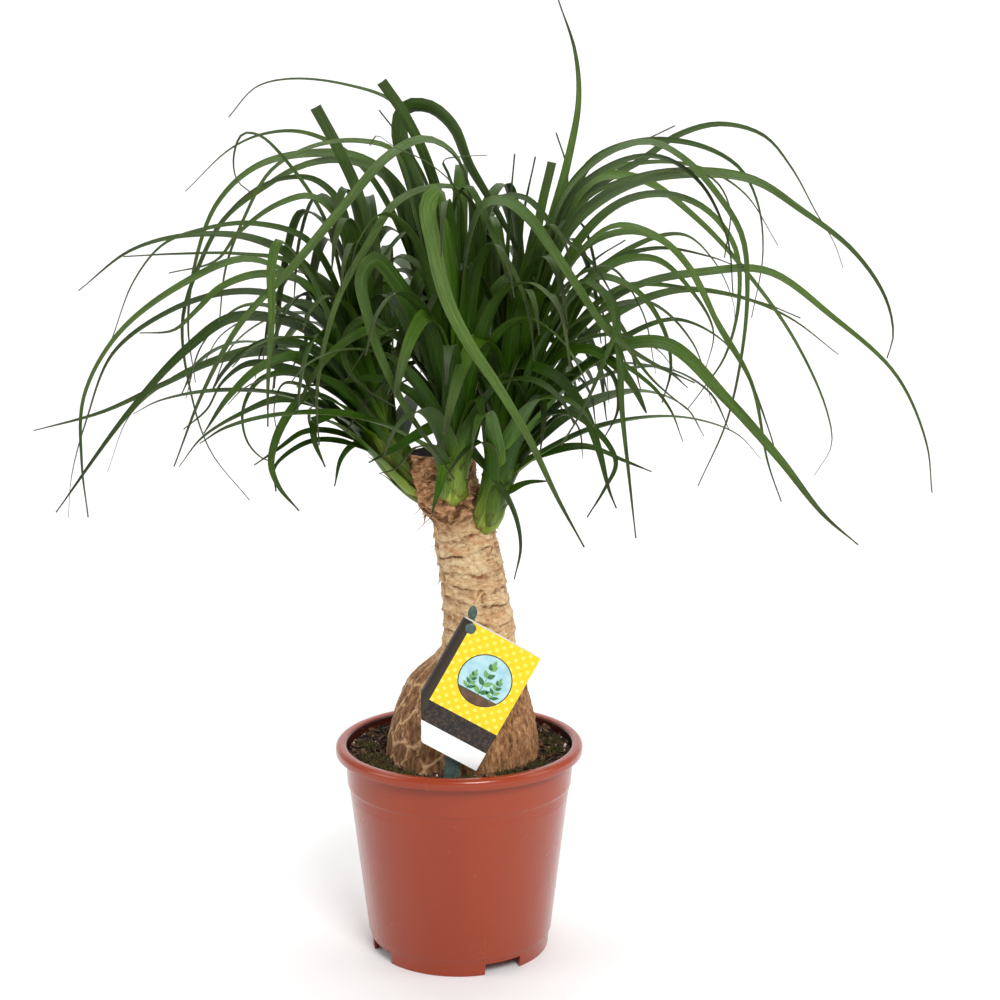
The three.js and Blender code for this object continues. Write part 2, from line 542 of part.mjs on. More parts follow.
function stakeOutline(grow) {
  const foot = new THREE.Vector2(...STAKE_FOOT);
  const along = new THREE.Vector2(...STAKE_TOP).sub(foot);
  const length = along.length();
  along.normalize();
  const across = new THREE.Vector2(along.y, -along.x);
  const knobMiddle = length - KNOB_LENGTH / 2;
  const half = [
    [STAKE_THICKNESS / 2, 0],
    [STAKE_HALF_WIDTH, STAKE_POINT_LENGTH],
    [STAKE_HALF_WIDTH, STAKE_SHOULDER],
    [STAKE_NECK_HALF_WIDTH, STAKE_NECK],
    [STAKE_NECK_HALF_WIDTH, length - KNOB_LENGTH],
    [KNOB_HALF_WIDTH * 0.8, knobMiddle - KNOB_LENGTH * 0.3],
    [KNOB_HALF_WIDTH, knobMiddle],
    [KNOB_HALF_WIDTH * 0.8, knobMiddle + KNOB_LENGTH * 0.3],
    [KNOB_HALF_WIDTH * 0.3, length],
  ];
  const side = (sign) => ([width, distance], i) => {
    const down = i === 0 ? grow : 0;
    const p = foot.clone().addScaledVector(along, distance - down);
    p.addScaledVector(across, sign * (width + grow));
    return [p.x, p.y];
  };
  return [...half.map(side(1)), ...half.map(side(-1)).reverse()];
}

// Section of the folded card seen from its top edge: a front leaf, the fold, and a back leaf.
function cardSection() {
  const gap = 2 * CARD_FOLD_RADIUS;
  const bend = (radius) =>
    [20, 50, 80, 100, 130, 160].map((degrees) => {
      const angle = degToRad(degrees);
      const reach = CARD_FOLD_OUT * (radius / CARD_FOLD_RADIUS);
      return [-reach * Math.sin(angle), CARD_FOLD_RADIUS - radius * Math.cos(angle)];
    });
  const outer = bend(CARD_FOLD_RADIUS + CARD_THICKNESS / 2);
  const inner = bend(CARD_FOLD_RADIUS - CARD_THICKNESS / 2);
  const half = CARD_THICKNESS / 2;
  return [
    [CARD_WIDTH, -half],
    [0, -half],
    ...outer,
    [0, gap + half],
    [CARD_WIDTH - CARD_BACK_SHORTER, gap + half - 1],
    [CARD_WIDTH - CARD_BACK_SHORTER, gap - half - 1],
    [0, gap - half],
    ...inner.reverse(),
    [0, half],
    [CARD_WIDTH, half],
  ];
}

// The card hangs in front of the stake, turned about its upper left corner. Its lower corner at the
// fold is trimmed upright.
function cardGeometry() {
  const shape = new THREE.Shape(cardSection().map(([x, y]) => new THREE.Vector2(x, y)));
  const sheet = new THREE.ExtrudeGeometry(shape, { depth: CARD_HEIGHT, bevelEnabled: false });
  sheet.translate(CARD_FOLD_OUT, 0, -CARD_HEIGHT);
  sheet.rotateY(degToRad(CARD_TURN));
  const back = STAKE_Y - STAKE_THICKNESS - GAP;
  const front = back - 2 * CARD_FOLD_RADIUS - CARD_THICKNESS / 2;
  sheet.translate(CARD_CORNER[0], front, CARD_CORNER[1]);
  const hole = pinCylinder(PIN_RADIUS + GAP, back + 1, front - CARD_THICKNESS);
  const { right, top, size } = CARD_TRIM;
  const corner = new THREE.BoxGeometry(size, size, 2 * size).translate(right - size / 2, front, top - size);
  return shellOf(solidOf(sheet).subtract(solidOf(hole)).subtract(solidOf(corner)));
}

function pinCylinder(radius, back, front) {
  const pin = new THREE.CylinderGeometry(radius, radius, back - front, PIN_SECTORS);
  return pin.translate(PIN_AT[0], (back + front) / 2, PIN_AT[1]);
}

function stakeGeometry() {
  const back = STAKE_Y;
  const face = back - STAKE_THICKNESS;
  const cardFront = face - GAP - 2 * CARD_FOLD_RADIUS - CARD_THICKNESS - GAP;
  const stake = solidOf(uprightPlate(stakeOutline(0), face, back));
  const shaft = solidOf(pinCylinder(PIN_RADIUS, face + 1, cardFront - 0.5));
  const head = solidOf(pinCylinder(PIN_HEAD_RADIUS, cardFront, cardFront - PIN_HEAD_THICKNESS));
  return shellOf(stake.add(shaft).add(head));
}

// A point at depth y on the sight line through (x, z) on the upright plane through the axis.
function seen(x, z, y) {
  const share = (y - EYE.y) / (0 - EYE.y);
  return new THREE.Vector3(x, 0, z).sub(EYE).multiplyScalar(share).add(EYE);
}

function stemCurve(shoot) {
  return new THREE.CatmullRomCurve3(SHOOTS[shoot].line.map((p) => new THREE.Vector3(...p)));
}

const CURVES = Object.fromEntries(Object.keys(SHOOTS).map((shoot) => [shoot, stemCurve(shoot)]));

// Where a leaf grows from the stem: steep leaves near the tip, flat ones further down.
function rootOf(shoot, steepness) {
  return CURVES[shoot].getPoint(ROOT_LOWEST + ROOT_RANGE * clamp(steepness, 0, 1));
}

// Points of an outline leaf, its depth growing evenly along it, with the tip moved back by shift.
function outlinePoints([shoot, , depth, flat], shift) {
  const middle = CURVES[shoot].getPoint(0.6);
  const rise = Math.atan2(flat[1] - middle.z, Math.abs(flat[0] - middle.x));
  const root = rootOf(shoot, rise / (Math.PI / 2));
  const steps = [];
  let [x, z, length] = [root.x, root.z, 0];
  for (let i = 0; i < flat.length; i += 2) {
    length += Math.hypot(flat[i] - x, flat[i + 1] - z);
    [x, z] = [flat[i], flat[i + 1]];
    steps.push([x, z, length]);
  }
  const points = steps.map(([px, pz, reach]) => {
    const share = reach / length;
    return seen(px, pz, lerp(root.y, depth + shift, share));
  });
  return [root, ...points];
}

// Points of an inner leaf: an arch from the stem, out to its reach and down to its tip.
function innerPoints({ shoot, turn, reach, height, fall }, shift) {
  const angle = degToRad(turn + shift);
  const root = rootOf(shoot, height / (height + reach));
  const points = ARCH.map(([out, up, down]) => {
    const away = new THREE.Vector3(reach * out * Math.cos(angle), reach * out * Math.sin(angle), 0);
    return root.clone().add(away.setZ(height * up - fall * down));
  });
  return [root, ...points];
}

// Middle line of a leaf with a frame at each station: along it, across the blade, and off its face.
function midline(points, facing) {
  const curve = new THREE.CatmullRomCurve3(points);
  const line = curve.getSpacedPoints(STATIONS);
  const out = line[STATIONS].clone().sub(line[0]).setZ(0).normalize();
  const across = new THREE.Vector3(0, 0, 1).cross(out);
  const frames = line.map((point, i) => {
    const along = line[Math.min(i + 1, STATIONS)].clone().sub(line[Math.max(i - 1, 0)]).normalize();
    across.addScaledVector(along, -across.dot(along)).normalize();
    return { point, along, across: across.clone(), face: along.clone().cross(across) };
  });
  const toEye = EYE.clone().sub(line[STATIONS / 2]).normalize();
  const side = frames[STATIONS / 2].across.dot(toEye) > 0 ? -1 : 1;
  const most = degToRad(facing) * side;
  frames.forEach((frame, i) => {
    const turn = most * smoothstep(i / STATIONS, 0.05, 0.45);
    const { across: a, face: f } = frame;
    frame.across = a.clone().multiplyScalar(Math.cos(turn)).addScaledVector(f, Math.sin(turn));
    frame.face = f.clone().multiplyScalar(Math.cos(turn)).addScaledVector(a, -Math.sin(turn));
  });
  return frames;
}

// Stations that carry a ring: evenly along the leaf, and closer together where it bends.
function ringStations(frames, cut) {
  const stop = cut ? STATIONS : LAST_RING;
  const measure = [0];
  for (let i = 1; i <= stop; i++) {
    const bend = radToDeg(frames[i].along.angleTo(frames[i - 1].along));
    const step = frames[i].point.distanceTo(frames[i - 1].point);
    measure.push(measure[i - 1] + step / RING_SPACING + bend / RING_BEND);
  }
  const count = clamp(Math.round(measure[stop]), FEWEST_RINGS, MOST_RINGS);
  const picked = [];
  for (let k = 0; k < count; k++) {
    const target = (measure[stop] * k) / (count - 1);
    const at = measure.findIndex((value) => value >= target - 1e-9);
    if (!picked.includes(at)) picked.push(at);
  }
  return picked;
}

function bladeWidth(width, share, cut) {
  const narrowed = ROOT_NARROWING + (1 - ROOT_NARROWING) * clamp(share / WIDEST_SHARE, 0, 1);
  const tapered = ((1 - share) / (1 - WIDEST_SHARE)) ** TAPER;
  const least = cut ? CUT_WIDTH_SHARE : 0;
  return Math.max(width * narrowed * clamp(tapered, least, 1), LEAST_WIDTH);
}

// A strap leaf of three-sided section: a flat upper face over a keel, and a drawn-out tip.
function blade(frames, width, cut, extra) {
  const stations = ringStations(frames, cut);
  const rings = stations.map((i) => {
    const { point, across, face } = frames[i];
    const wide = bladeWidth(width, i / STATIONS, cut);
    const half = wide / 2 + extra;
    const top = point.clone().addScaledVector(face, extra);
    return [
      point.clone().addScaledVector(face, -(KEEL + KEEL_PER_WIDTH * wide + extra)),
      top.clone().addScaledVector(across, half),
      top.clone().addScaledVector(across, -half),
    ];
  });
  const start = frames[0].point.clone().addScaledVector(frames[0].along, -2);
  const last = frames[stations[stations.length - 1]].point;
  const end = cut ? last.clone() : frames[STATIONS].point.clone();
  return { geometry: loft(rings, start, end), shares: stations.map((i) => i / STATIONS) };
}

// Triangles of a blade, grouped by the stretch of leaf that they cover, each with its box.
function stretches({ geometry, shares }, shoot) {
  const position = geometry.attributes.position;
  const perSide = 2 * (shares.length - 1) + 2;
  const groups = shares.map((share) => ({ shoot, share, box: new THREE.Box3(), triangles: [] }));
  for (let i = 0; i < position.count; i += 3) {
    const within = (i / 3) % perSide;
    const group = groups[clamp(Math.floor((within - 1) / 2), 0, shares.length - 1)];
    const triangle = [0, 1, 2].map((k) => new THREE.Vector3().fromBufferAttribute(position, i + k));
    group.triangles.push(triangle);
    triangle.forEach((p) => group.box.expandByPoint(p));
  }
  return groups;
}

const ray = new THREE.Ray();
const hit = new THREE.Vector3();
function edgePierces(from, to, [a, b, c]) {
  const length = from.distanceTo(to);
  ray.origin.copy(from);
  ray.direction.copy(to).sub(from).divideScalar(length);
  return ray.intersectTriangle(a, b, c, false, hit) !== null && hit.distanceTo(from) <= length;
}

function trianglesCross(one, other) {
  for (let k = 0; k < 3; k++) {
    if (edgePierces(one[k], one[(k + 1) % 3], other)) return true;
    if (edgePierces(other[k], other[(k + 1) % 3], one)) return true;
  }
  return false;
}

function stretchesCross(one, other) {
  if (!one.box.intersectsBox(other.box)) return false;
  return one.triangles.some((a) => other.triangles.some((b) => trianglesCross(a, b)));
}

// How a leaf meets what is already placed: 2 where it crosses another shoot or the trunk, 1 where it
// only crosses leaves of its own shoot away from their bases, 0 where it is clear.
function crossing(groups, placed, frames) {
  const top = TRUNK_ROWS[TRUNK_ROWS.length - 1][0];
  const inTrunk = frames.slice(TRUNK_MARGIN_FROM).some(({ point }) => {
    const { x, radius } = trunkAt(point.z);
    return point.z < top + TRUNK_MARGIN && Math.hypot(point.x - x, point.y) < radius + TRUNK_MARGIN;
  });
  if (inTrunk) return 2;
  let worst = 0;
  for (const other of placed) {
    const own = groups[0].shoot === other.shoot;
    if (own && worst === 1) continue;
    for (const group of groups) {
      if (own && (group.share < BASE_ZONE || other.share < BASE_ZONE)) continue;
      if (!stretchesCross(group, other)) continue;
      if (!own) return 2;
      worst = 1;
    }
  }
  return worst;
}

const DEPTH_SHIFTS = [0, 8, -8, 16, -16, 26, -26, 38, -38, 52, -52, 70, -70, 90, -90];
const TURN_SHIFTS = [0, 6, -6, 12, -12, 18, -18, 25, -25, 33, -33];

function stemRings(shoot, extra) {
  const { radii } = SHOOTS[shoot];
  const curve = CURVES[shoot];
  const across = new THREE.Vector3(0, 1, 0);
  return radii.map((radius, i) => {
    const share = i / (radii.length - 1);
    const point = curve.getPoint(share);
    const along = curve.getTangent(share);
    across.addScaledVector(along, -across.dot(along)).normalize();
    const side = along.clone().cross(across);
    return Array.from({ length: STEM_SECTORS }, (_, s) => {
      const angle = (2 * Math.PI * s) / STEM_SECTORS;
      const p = point.clone().addScaledVector(across, (radius + extra) * Math.cos(angle));
      return p.addScaledVector(side, (radius + extra) * Math.sin(angle));
    });
  });
}

function stemGeometry(shoot) {
  const curve = CURVES[shoot];
  const end = curve.getPoint(1).addScaledVector(curve.getTangent(1), 5);
  return loft(stemRings(shoot, 0), curve.getPoint(0), end);
}

// Every leaf is bent clear of the others: the ways to bend it are tried in turn, and it takes the
// first that leaves it clear, or else the first that only meets leaves of its own shoot.
function placeLeaves() {
  const placed = [];
  const leaves = [];
  for (const shoot of Object.keys(SHOOTS)) {
    const stem = { geometry: stemGeometry(shoot), shares: [0] };
    const group = stretches(stem, shoot)[0];
    placed.push(group);
  }
  const place = ({ shoot, width, cut, facing }, shifts, pointsAt) => {
    let spare = null;
    for (const shift of shifts) {
      const frames = midline(pointsAt(shift), facing);
      const groups = stretches(blade(frames, width, cut, CLEARANCE), shoot);
      const state = crossing(groups, placed, frames);
      if (state === 2) continue;
      const found = { shoot, width, cut, frames };
      if (state === 0) {
        spare = found;
        break;
      }
      spare ??= found;
    }
    if (!spare) return;
    placed.push(...stretches(blade(spare.frames, width, cut, 0), shoot));
    leaves.push(spare);
  };
  for (const row of OUTLINE_LEAVES) {
    const [shoot, width, , , ending] = row;
    const leaf = { shoot, width, cut: ending === CUT, facing: FACE_TURN };
    place(leaf, DEPTH_SHIFTS, (shift) => outlinePoints(row, shift));
  }
  for (const fan of INNER_FANS) {
    for (let k = 0; k < fan.count; k++) {
      const age = (k + 0.5) / fan.count;
      const swing = ((k * GOLDEN_TURN) % 360) / 180 - 1;
      const height = lerp(LOWEST_ARCH, HIGHEST_ARCH, age) + draw(-12, 12);
      const leaf = {
        shoot: fan.shoot,
        cut: false,
        height,
        turn: fan.heading + fan.spread * swing + draw(-5, 5),
        reach: fan.reach * draw(0.8, 1.1) * lerp(LONGEST_REACH, SHORTEST_REACH, age),
        fall: fan.fall * draw(0.6, 1.1) * height,
      };
      leaf.width = draw(16, 21);
      leaf.facing = draw(-20, 20);
      place(leaf, TURN_SHIFTS, (shift) => innerPoints(leaf, shift));
    }
  }
  return leaves;
}

const leaves = placeLeaves();
const trunkSleeve = solidOf(trunkGeometry(GAP));

function shootGeometry(shoot) {
  let solid = solidOf(stemGeometry(shoot));
  for (const { frames, width, cut } of leaves.filter((leaf) => leaf.shoot === shoot)) {
    solid = solid.add(solidOf(blade(frames, width, cut, 0).geometry));
  }
  return shellOf(solid.subtract(trunkSleeve));
}

const plant = new THREE.Group();
plant.name = "potted_ponytail_palm";
function addPiece(name, geometry, colour, roughness) {
  const material = new THREE.MeshStandardMaterial({ color: colour, roughness, metalness: 0 });
  const mesh = new THREE.Mesh(geometry, material);
  mesh.name = name;
  plant.add(mesh);
}

const stakeHole = uprightPlate(stakeOutline(GAP), STAKE_Y - STAKE_THICKNESS - GAP, STAKE_Y + GAP);
addPiece("pot", potGeometry(), 0xaa523a, 0.42);
addPiece("soil", soilGeometry([trunkGeometry(GAP), stakeHole]), 0x2f2117, 0.95);
addPiece("trunk", shellOf(solidOf(trunkGeometry(0))), 0xb08a62, 0.85);
for (const shoot of Object.keys(SHOOTS)) addPiece(shoot, shootGeometry(shoot), SHOOTS[shoot].colour, 0.45);
addPiece("label_stake", stakeGeometry(), 0x31433f, 0.5);
addPiece("label_card", cardGeometry(), 0xf2cf1e, 0.3);

export default plant;
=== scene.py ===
"""Looks of a potted ponytail palm: the pot, the soil, the trunk, four leafy shoots and the plant label,
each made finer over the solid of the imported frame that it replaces. Lengths are in millimetres, in the
frame's own axes, until a mesh is made of them. Named turns are in degrees, unless a comment or the
line itself says radians."""

import math

import bmesh
import bpy
import numpy as np
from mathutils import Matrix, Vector, kdtree, noise


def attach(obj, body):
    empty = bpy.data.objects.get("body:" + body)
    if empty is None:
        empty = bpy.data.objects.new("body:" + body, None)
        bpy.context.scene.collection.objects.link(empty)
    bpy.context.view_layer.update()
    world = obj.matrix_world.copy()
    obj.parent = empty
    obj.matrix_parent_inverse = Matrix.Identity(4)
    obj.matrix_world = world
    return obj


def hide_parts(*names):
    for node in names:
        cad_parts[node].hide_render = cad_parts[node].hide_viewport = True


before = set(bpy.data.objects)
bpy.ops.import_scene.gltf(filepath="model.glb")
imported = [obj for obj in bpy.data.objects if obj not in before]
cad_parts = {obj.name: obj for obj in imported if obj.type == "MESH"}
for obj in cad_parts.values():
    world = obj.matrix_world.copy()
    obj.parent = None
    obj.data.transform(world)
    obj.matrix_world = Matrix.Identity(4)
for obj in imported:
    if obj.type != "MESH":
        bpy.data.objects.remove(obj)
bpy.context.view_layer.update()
MM = 0.001
CHANCE = np.random.default_rng(20)

# The eye that the frame's leaves were placed with, and the camera, which stands less than 1 mm from it.
EYE = np.array([31.0, -1330.0, 601.0])
CAMERA_AT = (31.3, -1330.1, 601.6)
LOOK_AT = (31.3, 0.0, 351.3)
LENS = 64.8
FILM_WIDTH = 36

# Pot, from its foot up.
POT_HEIGHT = 163.4
POT_SECTORS = 192
AXIS_RADIUS = 0.02
FOOT_RADIUS = 68.9
FOOT_WALL = 2.2
FOOT_HEIGHT = 12.6
BODY_BOTTOM_RADIUS = 71.2
FLOOR_BOTTOM = 13.6
FLOOR_TOP = 15.4
BAND_BOTTOM = 122.0
BAND_BOTTOM_RADIUS = 84.1
COLLAR_BOTTOM = 131.0
COLLAR_BOTTOM_RADIUS = 85.5
COLLAR_STEP = 0.9
COLLAR_TOP_RADIUS = 88.0
RIM_RADIUS = 95.0
RIM_SKIRT_BOTTOM = 155.4
POT_WALL = 1.5
FOOT_SLOTS = 4
FOOT_SLOT_SIZE = (30, 30, 18)
FOOT_SLOT_TURN = -150.5
DRAIN_RADIUS = 4.0
DRAIN_CIRCLE = 46.0
DRAIN_HOLES = 4
WALL_SLOPE = 0.06
# Inside the wall above the collar the pot is painted darker: shade that falls inside it, with grime.
SHADE_AND_GRIME_RADIUS = 78.0
SHADE_AND_GRIME_BOTTOM = 135.0

# Soil: it dips round the caudex and banks up towards the wall. Its wall is radius and height. Its lumps
# and grains are noise: size of the features, octaves and, where it isn't the plain one, a seed.
SOIL_TOP = 155.0
SOIL_RADIUS = 85.7
SOIL_DIP = 1.8
SOIL_BANK = 3.4
SOIL_BANK_REACH = (60, 84)
SOIL_RINGS = 110
SOIL_SECTORS = 220
SOIL_INNER_RADIUS = 36
SOIL_WALL = [(69.0, 15.9), (81.9, 122.0), (83.2, 130.9), (84.4, 132.4), (84.6, 140.0)]
SOIL_HOLE = (34, 110)
SOIL_LUMPS = (11, 4)
SOIL_LUMP_HEIGHT = 1.5
SOIL_GRAINS = (4.5, 3, 4.0)
SOIL_GRAIN_HEIGHT = 1.3
SOIL_SINK = 0.6
CAUDEX_X = 2
CRUMBS = 760
CRUMB_CLEARANCE = 56
CRUMB_SIZES = (0.7, 1.0)
LARGEST_EXTRA = 2.2
PALE_GRAIN_SIZES = (0.5, 1.3)
FIBRES = 420
FIBRE_LENGTHS = (4, 13)
FIBRE_WIDTHS = (0.4, 1.1)
FIBRE_BOW = 0.35
FIBRE_LIFT = 2.0
CRUMB_LIFT = 0.9
LIFT_PER_SIZE = 0.25
CRUMB_MARGIN = 1.5
FIBRE_MARGIN = 0.5

# Moss patches on the soil: place of the middle, and radius.
MOSS_PATCHES = [
    (-62, -26, 13), (-56, -48, 10), (-70, 6, 8), (-38, -64, 8), (8, -70, 5), (60, 30, 8), (30, 66, 7),
    (38, -60, 10), (60, -42, 9), (73, -8, 7), (72, 16, 7), (-20, 72, 6),
]
LEAFLETS_PER_SIZE = 44
LEAFLET_HEIGHTS = (1.2, 3.0)
MOSS_CLEARANCE = 58
LEAFLET_HALF_WIDTH = 0.45
LEAFLET_KEEL = 0.3
LEAFLET_LIFT = 0.8
LEAFLET_LEAN = 0.7
LEAFLET_RISE = 1.2
MOSS_MARGIN = 2

# Caudex and trunk: height, sideways place of the middle, and radius.
TRUNK_ROWS = np.array([
    [105, 0, 40], [118, 0, 51], [130, 1, 56], [150, 2, 58.5], [165, 2.5, 57.5], [180, 3, 55],
    [200, 4, 49], [215, 6.5, 43.5], [230, 13, 33], [240, 15, 28], [260, 15, 26.7], [280, 12, 24.8],
    [300, 9.5, 24.5], [320, 5.5, 23.5], [335, 3.5, 23.5], [350, -5, 26], [370, -12, 25], [388, -13, 25],
])
TRUNK_RINGS = 270
TRUNK_SECTORS = 260
SAWN_RINGS = 25
SAWN_DISH = 2.2
NECK = (220, 246)
CROWN = (328, 346)

# Bark: the net of plates on the caudex, the leaf-scar rings and the bud scar above it. The turn of the
# rough side is in radians.
PLATE_COLUMNS = 21
PLATE_ROWS = 16
PLATE_BOTTOM = 90
PLATE_HEIGHT = 20.0
PLATE_SQUASH = 0.85
NET_WIDTH = 0.085
ROUGH_SIDE_TURN = 0.35
SCAR_SPACING = 12.6
BUD_SCAR = {"height": 282.5, "turn": -76, "half_width": 4.6, "half_height": 7.0, "trunk_radius": 24.8}

# Relief of the bark: how high each kind of mark stands, or how deep it lies.
PLATE_RELIEF = {"net": 0.75, "sunk": -0.35, "fissure": 0.5}
ROUGH_RELIEF = {"fissure": 1.15, "net": 0.25}
RING_RELIEF = {"step": 0.9, "groove": -1.1, "flake": 0.9, "grain": 0.6, "fissure": 0.4, "wrinkle": -0.7}
BUD_RELIEF = {"rim": 0.9, "inside": -0.5, "slit": -0.6}
CROWN_RELIEF = {"swirl": 3.0, "grain": 0.6}

# Noise of the bark: size of its features, octaves and seed.
WAVER = (26, 3)
GRAIN = (5, 4, 9.0)
FISSURES = ((2.6, 2.6, 17), 4, 3.0)
RING_BREAKS = ((14, 14, 9), 3, 5.0)
WRINKLES = ((13, 13, 2.4), 3, 2.0)
SWIRL = ((17, 17, 6), 4, 7.0)
SAW_MARKS = (4, 3)

# Loose fibres and flakes of the bark, in two bands of height: ranges of their sizes, and of their tones.
SHREDS = 340
UPPER_SHREDS = {"heights": (318, 384), "lengths": (6, 18), "lift": 0.5}
LOWER_SHREDS = {"heights": (236, 330), "lengths": (3, 9), "lift": 1}
FLAKE = {"drops": (-1.3, -0.5), "widths": (2.4, 4.6), "tones": (0.6, 1)}
FIBRE = {"drops": (-0.9, 0.25), "widths": (0.6, 2.0), "tones": (0, 1)}
SHRED_LIFTS = (0.05, 0.5)
SHRED_ROOTING = 0.4
SHRED_STEPS = 7
STRIP_THICKNESS = 0.25
STRIP_TAPER = 0.85
STRIP_FACING = (0.31, 0.17, 0.93)

# Shoots: the line of each short stem, its radius along that line, how many sheaths and young leaves it
# bears, and how high the tallest young leaf rises.
SHOOTS = {
    "shoot_left": {
        "line": [[-25, -2, 352], [-38, -4, 366], [-50, -5, 383], [-60, -5, 400], [-66, -5, 416]],
        "radii": [7, 10, 11, 10, 6], "sheaths": 9, "young": 14, "tallest": 135,
    },
    "shoot_front": {
        "line": [[-3, -22, 356], [-3, -33, 364], [-2, -38, 378], [0, -39, 395], [2, -38, 412]],
        "radii": [8, 9, 9, 8, 5], "sheaths": 6, "young": 10, "tallest": 155,
    },
    "shoot_right": {
        "line": [[18, -12, 330], [23, -18, 340], [28, -20, 360], [34, -19, 385], [41, -17, 412]],
        "radii": [7, 10, 10, 10, 6], "sheaths": 9, "young": 14, "tallest": 155,
    },
    "shoot_rear": {
        "line": [[-8, 20, 366], [-6, 34, 376], [-3, 40, 390], [-1, 42, 406], [0, 42, 424]],
        "radii": [8, 10, 11, 9, 6], "sheaths": 8, "young": 14, "tallest": 170,
    },
}
STEM_SHARE = 0.75
STEM_TOP_RADIUS = 1
STEM_RINGS = 30
STEM_SIDES = 24
STEM_COLOUR_LENGTH = 40
AIMING_SHARE = 0.6

# Leaves, as they lie in the frame.
STATIONS = 64
ROOT_NARROWING = 0.6
WIDEST_SHARE = 0.12
LEAST_WIDTH = 1.0
WIDTH_SHARE = 0.92
CUT_WIDTH_SHARE = 0.55
FACE_TURN = 40
ROOT_LOWEST = 0.42
ROOT_RANGE = 0.5
DEPTH_SHIFTS = [0, 8, -8, 16, -16, 26, -26, 38, -38, 52, -52, 70, -70, 90, -90]
TURN_SHIFTS = [0, 6, -6, 12, -12, 18, -18, 25, -25, 33, -33]
TIP_MATCH = 0.3
EDGE_ON = 0.93

# Leaf blades: how bluntly they taper, their places across from edge to edge, their thickness, the bend
# across them, the stretch over which they let go of the stem, and the ripple of their edges, whose turns
# along a leaf are in radians. A cut leaf is coloured as if it went on past its end.
TAPER = 0.76
BLUNT_TAPER = 0.5
STUB_TAPER = 0.8
SECTION = np.array([-1, -0.82, -0.4, 0, 0.4, 0.82, 1])
MIDDLE_THICKNESS = 1.1
NARROW_THICKNESS = 0.3
THICKNESS_PER_WIDTH = 0.06
EDGE_THICKNESS = 0.35
FREE_BEND = 0.8
HUG_RADIUS = 8.5
LETTING_GO = (8, 55)
RIPPLE = 0.035
RIPPLE_TURNS = (9, 16)
CUT_TIP_SHARE = 0.9

